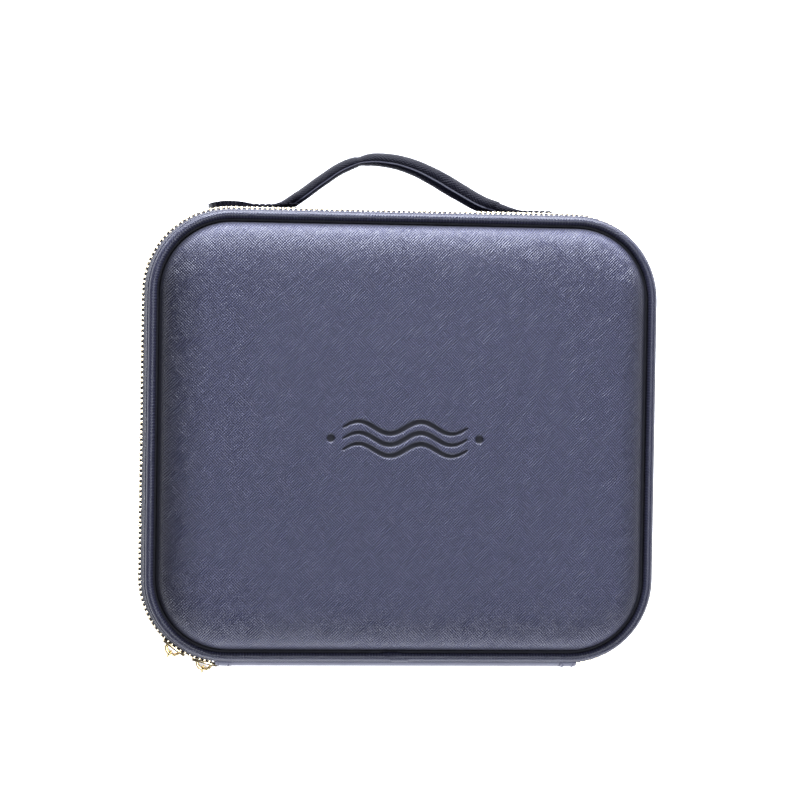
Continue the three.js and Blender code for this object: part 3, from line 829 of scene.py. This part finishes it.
handle_leather = leather("handle_leather", (0.003, 0.003, 0.006), (0.01, 0.01, 0.016), 0.42, pitch=0.0016,
                         depth=0.0003)
handle_leather.node_tree.nodes["Principled BSDF"].inputs["Specular IOR Level"].default_value = 0.07
# Painted highlight: a lighter, glossier finish on the lapped ridge, where the lap catches the light.
painted_lap_highlight = plain_material("painted_lap_highlight", (0.05, 0.05, 0.07), 0.35)


def curve_mesh(curve):
    holder = bpy.data.objects.new("holder", curve)
    scene.collection.objects.link(holder)
    mesh = bpy.data.meshes.new_from_object(holder.evaluated_get(bpy.context.evaluated_depsgraph_get()))
    bpy.data.objects.remove(holder)
    return mesh


def smooth_path(points, steps):
    """Points along one even curve through the given points."""
    line = bpy.data.curves.new("path", "CURVE")
    line.dimensions = "3D"
    line.resolution_u = 24
    spline = line.splines.new("BEZIER")
    spline.bezier_points.add(len(points) - 1)
    for knot, point in zip(spline.bezier_points, points):
        knot.co = point
        knot.handle_left_type = knot.handle_right_type = "AUTO"
    mesh = curve_mesh(line)
    dense = [vert.co.copy() for vert in mesh.vertices]
    lengths = [0.0]
    for first, second in zip(dense, dense[1:]):
        lengths.append(lengths[-1] + (second - first).length)
    path = []
    k = 0
    for i in range(steps + 1):
        goal = lengths[-1] * i / steps
        while k < len(dense) - 2 and lengths[k + 1] < goal:
            k += 1
        span = lengths[k + 1] - lengths[k]
        path.append(dense[k].lerp(dense[k + 1], (goal - lengths[k]) / span))
    return path, lengths[-1]


bow = [Vector((x, GUSSET_FACE - out, HANDLE_HEIGHT)) for x, out in HANDLE_BOW]
path, handle_length = smooth_path(bow, HANDLE_STEPS)
CREASE_AT = 22.0                        # along X, where the roll has kinked
LAP_AT, LAP_WIDE = -0.3, 0.12           # the lapped edge, from -1 inside the bow to 1 outside it
HANDLE_SIDES = 48


def wrapped_grid(columns, rows, shape, width, height, closed_round=False):
    """A grid of faces laid onto a shape: shape(u, v) places each crossing, u and v from 0 to 1."""
    bm = bmesh.new()
    layer = bm.loops.layers.uv.new("cloth")
    bmesh.ops.create_grid(bm, x_segments=columns, y_segments=rows, size=0.5, calc_uvs=True)
    for face in bm.faces:
        for loop in face.loops:
            loop[layer].uv = ((loop.vert.co.x + 0.5) * width * MM, (loop.vert.co.y + 0.5) * height * MM)
    for vert in bm.verts:
        vert.co = shape(vert.co.x + 0.5, vert.co.y + 0.5)
    if closed_round:
        bmesh.ops.remove_doubles(bm, verts=bm.verts, dist=0.001)
    face_out(bm)
    return bm


def half_at(x):
    """Half the roll's thickness at a place along X."""
    for (from_x, from_half), (to_x, to_half) in zip(ROLL_HALF, ROLL_HALF[1:]):
        if x >= to_x:
            share = min(1, (from_x - x) / (from_x - to_x))
            return from_half + (to_half - from_half) * share
    return ROLL_HALF[-1][1]


def handle_roll(u, v):
    i = round(u * HANDLE_STEPS)
    point = path[i]
    ahead = path[min(i + 1, HANDLE_STEPS)] - path[max(i - 1, 0)]
    outward = Vector((ahead.y, -ahead.x, 0)).normalized()
    if outward.y > 0:
        outward.negate()
    grown = min(1, min(u, 1 - u) * handle_length / 8)
    tall = ROLL_TALL * (0.48 + 0.52 * grown)
    off = point.x - CREASE_AT
    kink = math.exp(-(off / 2.2) ** 2)
    wrinkle = 1 - 0.16 * kink + 0.04 * math.cos(off * 2.4) * math.exp(-(off / 7) ** 2)
    angle = 2 * math.pi * v
    lapped = 1.0
    if math.cos(angle) < LAP_AT:
        lapped = 1.07 if math.cos(angle) > LAP_AT - LAP_WIDE else 0.9
    across = math.cos(angle) * half_at(point.x) * wrinkle * lapped
    up = math.sin(angle) * tall * (1 - 0.05 * kink) * lapped
    return point + outward * across + Vector((0, 0, up))


ROLL_ROUND = 40                         # the leather's width round the roll
bm = wrapped_grid(HANDLE_STEPS, HANDLE_SIDES, handle_roll, handle_length, ROLL_ROUND, closed_round=True)
layer = bm.loops.layers.uv["cloth"]
# The faces along the lapped ridge take the painted highlight.
for face in bm.faces:
    around = sum(loop[layer].uv.y for loop in face.loops) / len(face.loops) / (ROLL_ROUND * MM)
    if LAP_AT - LAP_WIDE < math.cos(2 * math.pi * around) < LAP_AT:
        face.material_index = 1
close_ends(bm)
face_out(bm)
handle = finish_piece(bm, "handle_roll", "handle", [handle_leather, painted_lap_highlight],
                      ["handle_grip"])

QUARTER_Z = Matrix.Rotation(math.pi / 2, 4, "Z")
TAB_FROM, TAB_TO = 50, 112
TAB_HALF = 14
TAB_END = 9


def handle_tab(side):
    def shape(u, v):
        x = TAB_FROM + (TAB_TO - TAB_FROM) * u
        short = min(x - TAB_FROM, TAB_TO - x, TAB_END) / TAB_END
        half = TAB_HALF * math.sqrt(max(0.0, 1 - (1 - short) ** 2)) + 0.3
        loose = min(1, max(0, (x - 76) / 22))
        lift = (3.0 if side > 0 else 0.6) * loose * loose * (3 - 2 * loose)
        y = GUSSET_FACE - 0.5 + corner_drop(x) - lift
        return Vector((side * x, y, HANDLE_HEIGHT + (v * 2 - 1) * half))

    bm = wrapped_grid(40, 12, shape, TAB_TO - TAB_FROM, 2 * TAB_HALF)
    bmesh.ops.solidify(bm, geom=bm.faces[:], thickness=-3.0 if side > 0 else 2.2)
    face_out(bm)
    return bm


tab_stitch = bar_mesh(2.6, 0.7, 0.7, 0.2)


def sew_rows(bm, side, first, count, y, row):
    """Two rows of stitches along X, as far above the handle's line as below it."""
    for up in (-row, row):
        for i in range(count):
            spot = (side * (first + 3.6 * i), y, HANDLE_HEIGHT + up)
            set_along(bm, tab_stitch, [Matrix.Translation(spot) @ QUARTER_Z])


for side, name in ((-1, "left"), (1, "right")):
    bm = handle_tab(side)
    low_y = min(vert.co.y for vert in bm.verts if abs(vert.co.x) < 90)
    sew_rows(bm, side, 60, 4, low_y, 11)
    title = f"handle_tab_{name}"
    finish_piece(bm, f"{title}_leather", "case", [handle_leather], [title])

# At each foot the roll opens out flat and is sewn down on its tab. It is its own piece, fixed to neither
# handle nor case.

FOOT_START = {"left": [(60, 6.0), (65, 4.9)], "right": [(59, 9.3), (64, 6.6)]}
FOOT_LINE = [(70, 4.2), (76, 3.6), (86, 3.4), (94, 3.4)]
FOOT_FLAT = 0.9
FOOT_STEPS = 24
for side, name in ((-1, "left"), (1, "right")):
    tab_face = GUSSET_FACE - (0.8 if side > 0 else 0)
    line = [Vector((side * x, tab_face - out, HANDLE_HEIGHT)) for x, out in FOOT_START[name] + FOOT_LINE]
    foot_path, foot_length = smooth_path(line, FOOT_STEPS)

    def foot(u, v):
        opened = min(1, u / 0.55)
        opened = opened * opened * (3 - 2 * opened)
        thick = 4 + (FOOT_FLAT - 4) * opened
        tall = 5 + (11.2 - 5) * opened
        end = max(0, (u - 0.86) / 0.14)
        tall *= math.sqrt(max(0, 1 - end * end * 0.6))
        angle = 2 * math.pi * v
        cosine, sine = math.cos(angle), math.sin(angle)
        across = math.copysign(abs(cosine) ** (1 - 0.5 * opened), cosine) * thick
        up = math.copysign(abs(sine) ** (1 - 0.3 * opened), sine) * tall
        return foot_path[round(u * FOOT_STEPS)] + Vector((0, -across, up))

    bm = wrapped_grid(FOOT_STEPS, 24, foot, foot_length, 40, closed_round=True)
    close_ends(bm)
    face_out(bm)
    sew_rows(bm, side, 77, 5, tab_face - FOOT_LINE[-1][1] - FOOT_FLAT, 8.4)
    wrap = finish_piece(bm, f"handle_foot_{name}", None, [handle_leather], crease=50)
    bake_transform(wrap)

# ---- The back panel ------------------------------------------------------------------
# Flat board under the same grained leather, with a soft edge. The closed case lies on it.

back_section = [
    (139, 6), (142.3, 6), (142.5, 5.4), (142.5, 3.6), (142.1, 2.2), (141.2, 1.1), (139.6, 0.3), (137.5, 0),
    (CORNER_X, 0),
]
bm = carry_round(back_section, closed=False)
fill_with_grid(bm, 0)
bmesh.ops.edgeloop_fill(bm, edges=[edge for edge in bm.edges if edge.is_boundary])
face_out(bm)
map_flat(bm)
finish_piece(bm, "back_panel_leather", "case", [gusset_leather], ["back_panel"])

# ---- Linings -------------------------------------------------------------------------
# Plain woven cloth glued to the boards, its edge bound over the top of the body's board and
# the bottom of the lid's.

lining_cloth = woven_material("lining_cloth", (0.03, 0.03, 0.04), 0.0009)
body_lining = [
    (141.8, 6.4), (142.4, 6.4), (142.7, 94), (142.9, 96.7), (146, 96.7), (146.2, 95.4), (146.6, 95.4),
    (146.4, 97), (142.4, 97), (141.8, 95),
]
LINING_LOW, LINING_HIGH = 116.1, 116.8
lid_lining = [
    (CORNER_X, LINING_LOW), (120.4, 114.6), (129.8, 111.2), (133.2, 107.3), (133.4, 105), (134.4, 104.6),
    (140.6, 104.6), (141.9, 103.6), (141.9, 97.6), (142.4, 97.1), (146.2, 97.1), (146.2, 98.6),
    (145.9, 98.6), (145.8, 97.25), (142.7, 97.4), (142.6, 104.2), (141, 105.2), (134.6, 105.3),
    (134, 107.6), (130.4, 111.8), (120.7, 115.3), (CORNER_X, LINING_HIGH),
]
bm = carry_round(body_lining)
map_round(bm)
finish_piece(bm, "body_lining_cloth", "case", [lining_cloth], ["body_lining"])


def filled_shell(section, floors, corner=(CORNER_X, CORNER_Y), steps=CORNER_STEPS):
    """A section carried round, with the holes in its middle closed at each floor's height."""
    bm = carry_round(section, closed=False, corner=corner, steps=steps)
    for floor_height in floors:
        fill_with_grid(bm, floor_height, corner[1])
    face_out(bm)
    return bm


bm = filled_shell(lid_lining, (LINING_LOW, LINING_HIGH))
map_flat(bm)
finish_piece(bm, "lid_lining_cloth", "lid", [lining_cloth], ["lid_lining"])


def dress(name, material):
    """A hard part that keeps its own solid and takes a finish."""
    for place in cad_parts[name].material_slots:
        place.material = material


pressed_board = plain_material("pressed_board", (0.25, 0.17, 0.1), 0.9, fleck=0.35, fleck_scale=900,
                               depth=0.0001)
dress("body_board", pressed_board)
dress("lid_board", pressed_board)

# ---- The heater unit's housing -------------------------------------------------------
# Injection-moulded, in a fine spark-eroded texture: a tray, and a deck screwed down on it
# with a groove round its edge and a shallow raised ring round each post's hole.

POST_SPOTS = [(x, y, size, radius) for y, size, radius in ((76, "large", 23), (14, "small", 19))
              for x in (-96, -32, 32, 96)]
POST_HOLE = 8.4
DECK_LOW, DECK_HIGH = 38.3, 42.3
CLIP_TRAY_SPOT = (0, -78)
SWITCH_SPOT, LENS_SPOT, INLET_SPOT = (113, -74), (113, -48), (-113, -74)
SCREW_SPOTS = [(-124, -20), (124, -20), (-64, 102), (0, 102), (64, 102), (-64, 44), (64, 44)]


def turned(section, sides, spot, closed=False):
    """A section of (radius, height) spun a full turn about an upright line."""
    bm = bmesh.new()
    verts, edges = chain(bm, [(radius, 0, height) for radius, height in section], closed)
    bmesh.ops.spin(bm, geom=verts + edges, cent=(0, 0, 0), axis=(0, 0, 1), angle=2 * math.pi, steps=sides,
                   use_merge=True)
    bmesh.ops.remove_doubles(bm, verts=bm.verts, dist=0.001)
    face_out(bm)
    shift(bm, (*spot, 0))
    return bm


def rounded_block(bm, spot, half_x, half_y, low, high, radius):
    """An upright block with rounded corners, added to a mesh."""
    corners = block(bm, (*spot, (low + high) / 2), (2 * half_x, 2 * half_y, high - low))
    edges = {edge for vert in corners for edge in vert.link_edges}
    upright = [edge for edge in edges if abs(edge.verts[0].co.z - edge.verts[1].co.z) > 1]
    soften(bm, upright, radius, 5)


def cut_and_soften(piece, cutter_bm, soft):
    """Cuts a shape out of a finished piece and takes the new edges off."""
    bmesh.ops.scale(cutter_bm, vec=(MM, MM, MM), verts=cutter_bm.verts)
    mesh = bpy.data.meshes.new("cutter")
    cutter_bm.to_mesh(mesh)
    cutter_bm.free()
    cutter = bpy.data.objects.new("cutter", mesh)
    scene.collection.objects.link(cutter)
    opening = piece.modifiers.new("opening", "BOOLEAN")
    opening.operation = "DIFFERENCE"
    opening.object = cutter
    opening.solver = "EXACT"
    softening = piece.modifiers.new("softening", "BEVEL")
    softening.width = soft * MM
    softening.segments = 2
    softening.limit_method = "ANGLE"
    softening.angle_limit = math.radians(50)
    softened = bpy.data.meshes.new_from_object(piece.evaluated_get(bpy.context.evaluated_depsgraph_get()))
    piece.modifiers.clear()
    piece.data = softened
    bpy.data.objects.remove(cutter)


housing_plastic = plain_material("housing_plastic", (0.022, 0.023, 0.03), 0.5, fleck=0.2, fleck_scale=1600,
                                 depth=0.00004)
TRAY_UNDER, TRAY_FLOOR = 6.5, 8.7
tray_section = [
    (CORNER_X, TRAY_UNDER), (131.8, TRAY_UNDER), (133.6, 7), (134.7, 8.1), (135, 9.6), (135, 37.6),
    (134.6, 38), (133.2, 38), (132.8, 37.6), (132.8, 9.4), (132, TRAY_FLOOR), (CORNER_X, TRAY_FLOOR),
]
bm = filled_shell(tray_section, (TRAY_UNDER, TRAY_FLOOR))
finish_piece(bm, "housing_tray", "case", [housing_plastic], ["base_tray"])

deck_section = [
    (CORNER_X, DECK_LOW), (134, DECK_LOW), (134, 41.5), (133.7, 42.1), (133.1, DECK_HIGH),
    (130.6, DECK_HIGH), (130.1, 41.7), (128.3, 41.7), (127.8, DECK_HIGH), (CORNER_X, DECK_HIGH),
]
bm = filled_shell(deck_section, (DECK_LOW, DECK_HIGH))
deck = finish_piece(bm, "housing_deck", "case", [housing_plastic], ["base_deck"])
openings = bmesh.new()
round_holes = [(x, y, POST_HOLE, 48) for x, y, _, _ in POST_SPOTS] + [(*LENS_SPOT, 4.3, 32)]
for x, y, radius, sides in round_holes:
    bmesh.ops.create_cone(openings, cap_ends=True, segments=sides, radius1=radius, radius2=radius, depth=20,
                          matrix=Matrix.Translation((x, y, DECK_HIGH)))
for spot, half_x, half_y, radius in ((CLIP_TRAY_SPOT, 92, 31, 6), (SWITCH_SPOT, 8.3, 11.3, 2.1),
                                     (INLET_SPOT, 9.3, 13.3, 2.1)):
    rounded_block(openings, spot, half_x, half_y, 30, 50, radius)
cut_and_soften(deck, openings, 0.35)
bm = bmesh.new()
for x, y, _, radius in POST_SPOTS:
    ring = [(radius + 1.2, 42.2), (radius + 1.4, 42.6), (radius + 2.4, 42.6), (radius + 2.6, 42.2)]
    add_to(bm, turned(ring, 64, (x, y)))
finish_piece(bm, "deck_rings", "case", [housing_plastic])

# ---- Screws --------------------------------------------------------------------------
# Seven zinc-plated pan-head screws with a six-sided socket hold the deck down on the tray.

zinc = plain_material("zinc_plate", (0.55, 0.56, 0.58), 0.34, metallic=1.0, fleck_scale=1500)
bm = bmesh.new()
for spot in SCREW_SPOTS:
    head = turned([(3, 42.2), (3, 43.2), (2.7, 43.7), (1.9, 43.95)], 24, spot)
    bmesh.ops.create_circle(head, segments=6, radius=1.25, matrix=Matrix.Translation((*spot, 43.95)))
    rims = [edge for edge in head.edges if edge.is_boundary or edge.is_wire]
    bmesh.ops.bridge_loops(head, edges=[edge for edge in rims if edge.verts[0].co.z > 43.9])
    rim = [edge for edge in head.edges if edge.is_boundary and edge.verts[0].co.z > 43.9]
    push(head, rim, (0, 0, -1.1))
    close_ends(head)
    face_out(head)
    add_to(bm, head)
finish_piece(bm, "deck_screws", "case", [zinc], crease=25)

# ---- Heater --------------------------------------------------------------------------
# One aluminium casting carries the eight hot posts. Two ceramic elements and a thermostat are
# clamped under it, and the control board stands beside them, all hidden by the deck.

cast_aluminium = plain_material("cast_aluminium", (0.6, 0.61, 0.62), 0.42, metallic=1.0, fleck=0.12,
                                fleck_scale=700, depth=0.00008)

bm = bmesh.new()
block(bm, (0, 46, 25.5), (236, 108, 3))
upright = [edge for edge in bm.edges if abs(edge.verts[0].co.z - edge.verts[1].co.z) > 1]
soften(bm, upright, 6, 4)
soften(bm, sharp_edges(bm, 1.2), 0.4, 2)
post = [
    (7.29, 26.6), (7.2, 32), (6.75, 90.4), (6.5, 91.3), (5.7, 91.9), (4.6, 92), (4.2, 91.5), (4.2, 86),
    (0, 86),
]
for x, y, _, _ in POST_SPOTS:
    add_to(bm, turned(post, 40, (x, y)))
finish_piece(bm, "heater_casting", "case", [cast_aluminium], ["heater_plate"])
ceramic = plain_material("heater_ceramic", (0.75, 0.7, 0.62), 0.7, fleck=0.1, fleck_scale=900, depth=0.00006)
for name in ("ptc_element_left", "ptc_element_right"):
    dress(name, ceramic)
dress("thermostat", housing_plastic)
solder_mask = plain_material("solder_mask", (0.02, 0.12, 0.05), 0.35, fleck=0.4, fleck_scale=220,
                             depth=0.00005)
dress("control_board", solder_mask)

# ---- Rollers -------------------------------------------------------------------------
# Eight, in two sizes. The barrel is a ceramic-filled sleeve with fine ribs, flocked so that
# hair grips it; its foot and its push-on cap are smooth moulded plastic with a fluted rim.

ROLLER_STEPS = 96
cap_plastic = plain_material("cap_plastic", (0.028, 0.028, 0.04), 0.3, fleck=0.1, fleck_scale=500,
                             depth=0.00001)
flock = plain_material("flocked_barrel", (0.1, 0.06, 0.14), 0.95, fleck=0.45, fleck_scale=2600, depth=0.0002)
flock.node_tree.nodes["Principled BSDF"].inputs["Sheen Weight"].default_value = 0.5


def fluted(bm, spot, low, high, least, count, depth):
    """Draws the outer wall in between flutes, for the heights from low to high."""
    for vert in bm.verts:
        x, y = vert.co.x - spot[0], vert.co.y - spot[1]
        if low <= vert.co.z <= high and math.hypot(x, y) > least:
            drawn = 1 - depth / math.hypot(x, y) * max(0, math.cos(count * math.atan2(y, x)))
            vert.co.x, vert.co.y = spot[0] + x * drawn, spot[1] + y * drawn


for i, (x, y, size, radius) in enumerate(POST_SPOTS):
    name = f"roller_{size}_{i % 4 + 1}"
    barrel = [
        (8.1, 43.4), (8.6, 42.9), (radius - 0.8, 42.9), (radius, 43.7), (radius, 46.2),
        (radius - 0.5, 46.9), (radius - 1.2, 47.4), (radius - 1.2, 96.6), (radius - 1.8, 97.2),
        (8.6, 97.2), (8.1, 96.7),
    ]
    bm = turned(barrel, ROLLER_STEPS, (x, y), closed=True)
    fluted(bm, (x, y), 47.3, 96.7, radius - 1.5, 32, 0.45)
    for face in bm.faces:
        face.material_index = 0 if face.calc_center_median().z > 47.2 else 1
    finish_piece(bm, f"{name}_sleeve", name, [flock, cap_plastic], [f"{name}_barrel"])
    cap = [
        (0, 97.5), (radius - 0.7, 97.5), (radius, 98.2), (radius, 101.6), (radius - 0.5, 102.6),
        (radius - 1.6, 103), (radius - 3.6, 103), (radius - 4.6, 102.6), (radius - 5.2, 101.9),
        (4.6, 101.7), (4.2, 102.3), (3.4, 102.6), (0, 102.6),
    ]
    bm = turned(cap, ROLLER_STEPS, (x, y))
    fluted(bm, (x, y), 98, 101.9, radius - 1, 24, 0.7)
    rib = bar_mesh(radius - 9.4, 1, 1.2, 0.3)
    outward = Matrix.Translation((0, (4.4 + radius - 4.9) / 2, 0))
    cap_top = Matrix.Translation((x, y, 101.7))
    set_along(bm, rib, [cap_top @ Matrix.Rotation(k * math.pi / 4, 4, "Z") @ outward for k in range(8)])
    finish_piece(bm, f"{name}_end_cap", name, [cap_plastic], [f"{name}_cap"])

# ---- The clip tray and the claw clips ------------------------------------------------
# The tray drops into the deck by its flange. Each clip is two curved combs on one pin, with a
# coiled spring between them that keeps the teeth shut.

clip_tray_section = [
    (86, 15), (89.6, 15), (90.9, 15.4), (91.6, 16.6), (91.6, 42.6), (94, 42.6), (94, 43.6), (93.6, 44),
    (90.5, 44), (90, 43.5), (90, 17.4), (89.2, 16.6), (86, 16.6),
]
bm = filled_shell(clip_tray_section, (15, 16.6), corner=(86, 25), steps=8)
shift(bm, (*CLIP_TRAY_SPOT, 0))
finish_piece(bm, "clip_tray_moulding", "case", [housing_plastic], ["clip_tray"])

CLIP_Y, CLIP_Z = -87, 31
CLIP_WIDTH = 36
CLIP_HALF = [(-16, 8.6), (-9, 5.4), (-3, 2.3), (2, 1.6), (9, 6.4), (17, 9.6), (25, 8.6), (31, 4.6), (34, 1.4)]
CLIP_COLUMNS, CLIP_ROWS = 40, 36
CLIP_TOOTH_ROWS = 4                    # a tooth, and a gap, are each this many rows across
CLIP_COMB_FROM = 25                    # the column where the gaps begin
clip_plastic = plain_material("clip_plastic", (0.05, 0.042, 0.065), 0.24, fleck=0.12, fleck_scale=350,
                              depth=0.00001)
clip_path, _ = smooth_path([Vector((0, along, up)) for along, up in CLIP_HALF], CLIP_COLUMNS)


def clip_comb(x, sign):
    def shape(u, v):
        point = clip_path[round(u * CLIP_COLUMNS)]
        width = (CLIP_WIDTH - 1.4) * (1 - 0.12 * math.sin(min(1, u / 0.6) * math.pi))
        return Vector((x + (v - 0.5) * width, CLIP_Y + point.y, CLIP_Z + sign * point.z))

    bm = wrapped_grid(CLIP_COLUMNS, CLIP_ROWS, shape, CLIP_COLUMNS, CLIP_ROWS)
    layer = bm.loops.layers.uv["cloth"]
    gaps = []
    for face in bm.faces:
        middle = sum((loop[layer].uv for loop in face.loops), Vector((0, 0))) / (4 * MM)
        if middle.x > CLIP_COMB_FROM and int(middle.y / CLIP_TOOTH_ROWS) % 2:
            gaps.append(face)
    bmesh.ops.delete(bm, geom=gaps, context="FACES")
    return bm


for i in range(4):
    x = (i - 1.5) * 46
    for half, sign, body in (("lower", -1, "case"), ("upper", 1, f"clip_{i + 1}")):
        bm = clip_comb(x, sign)
        comb = finish_piece(bm, f"clip_{i + 1}_{half}_comb", body, [clip_plastic],
                            [f"clip_{i + 1}_{half}_jaw"])
        thickness = comb.modifiers.new("thickness", "SOLIDIFY")
        thickness.thickness = 1.8 * MM
        thickness.offset = 0
        softening = comb.modifiers.new("softening", "BEVEL")
        softening.width = 0.3 * MM
        softening.segments = 2
        softening.angle_limit = math.radians(50)
    bm = bmesh.new()
    bmesh.ops.create_cone(bm, cap_ends=True, segments=16, radius1=0.7, radius2=0.7, depth=30,
                          matrix=Matrix.Translation((x, CLIP_Y, CLIP_Z)) @ QUARTER_Y)
    for k in range(7):
        spun_ring(bm, (x - 3 + k, CLIP_Y, CLIP_Z), 1.3, 0.42, (1, 0, 0), steps=16, start=(0, 1, 0))
    face_out(bm)
    finish_piece(bm, f"clip_{i + 1}_pin_and_spring", "case", [zinc])

# ---- Switch, pilot lamp and mains inlet ----------------------------------------------
# A rocker switch with a rocking cap in a snap-in frame, a domed amber lamp lens, and a
# two-pin inlet socket. All three are pushed through the deck from above.

bm = carry_round([(6, 32), (8, 32), (8, 44.5), (7.5, 45), (6.6, 45), (6, 44.4)], corner=(6, 9), steps=6)
shift(bm, (*SWITCH_SPOT, 0))
finish_piece(bm, "switch_frame", "case", [cap_plastic], ["switch_bezel"])

ROCKER_HALF_X, ROCKER_SIDE = 5.4, 8.2
ROCKER_PIVOT = 43.8
bm = bmesh.new()
rocker_outline = [
    (-ROCKER_SIDE, -2.4), (ROCKER_SIDE, -2.4), (ROCKER_SIDE, 1.2), (4, 0.45), (0, 0.2), (-4, 0.45),
    (-ROCKER_SIDE, 1.2),
]
_, edges = chain(bm, [(-ROCKER_HALF_X, along, up) for along, up in rocker_outline], closed=True)
push(bm, edges, (2 * ROCKER_HALF_X, 0, 0))
close_ends(bm)
soften(bm, sharp_edges(bm, 0.8), 0.4, 2)
face_out(bm)
bmesh.ops.rotate(bm, verts=bm.verts, cent=(0, 0, 0), matrix=Matrix.Rotation(math.radians(7), 3, "X"))
bmesh.ops.translate(bm, verts=bm.verts, vec=(*SWITCH_SPOT, ROCKER_PIVOT))
finish_piece(bm, "rocker_cap", "rocker", [cap_plastic], ["power_rocker"])

amber = plain_material("amber_lens", (0.75, 0.28, 0.03), 0.12, fleck=0.05, depth=0.000005)
amber.node_tree.nodes["Principled BSDF"].inputs["Transmission Weight"].default_value = 0.35
bm = turned([(0, 36), (4, 36), (4, 42.8), (3.7, 43.5), (2.9, 44.1), (1.6, 44.5), (0, 44.6)], 32, LENS_SPOT)
finish_piece(bm, "pilot_lamp_lens", "case", [amber], ["pilot_lens"])

inlet_section = [(7, 20), (8.8, 20), (9, 20.3), (9, 44), (8.5, 44.5), (7.5, 44.5), (7, 44), (7, 26)]
bm = filled_shell(inlet_section, (20, 26), corner=(7, 11), steps=6)
shift(bm, (*INLET_SPOT, 0))
finish_piece(bm, "mains_inlet_shell", "case", [cap_plastic], ["mains_inlet"])
pin = [(0, 25.5), (1.2, 25.5), (1.2, 39.6), (0.9, 40.3), (0, 40.5)]
bm = bmesh.new()
for offset in (-4.3, 4.3):
    add_to(bm, turned(pin, 20, (INLET_SPOT[0], INLET_SPOT[1] + offset)))
finish_piece(bm, "inlet_pins", "case", [zinc])
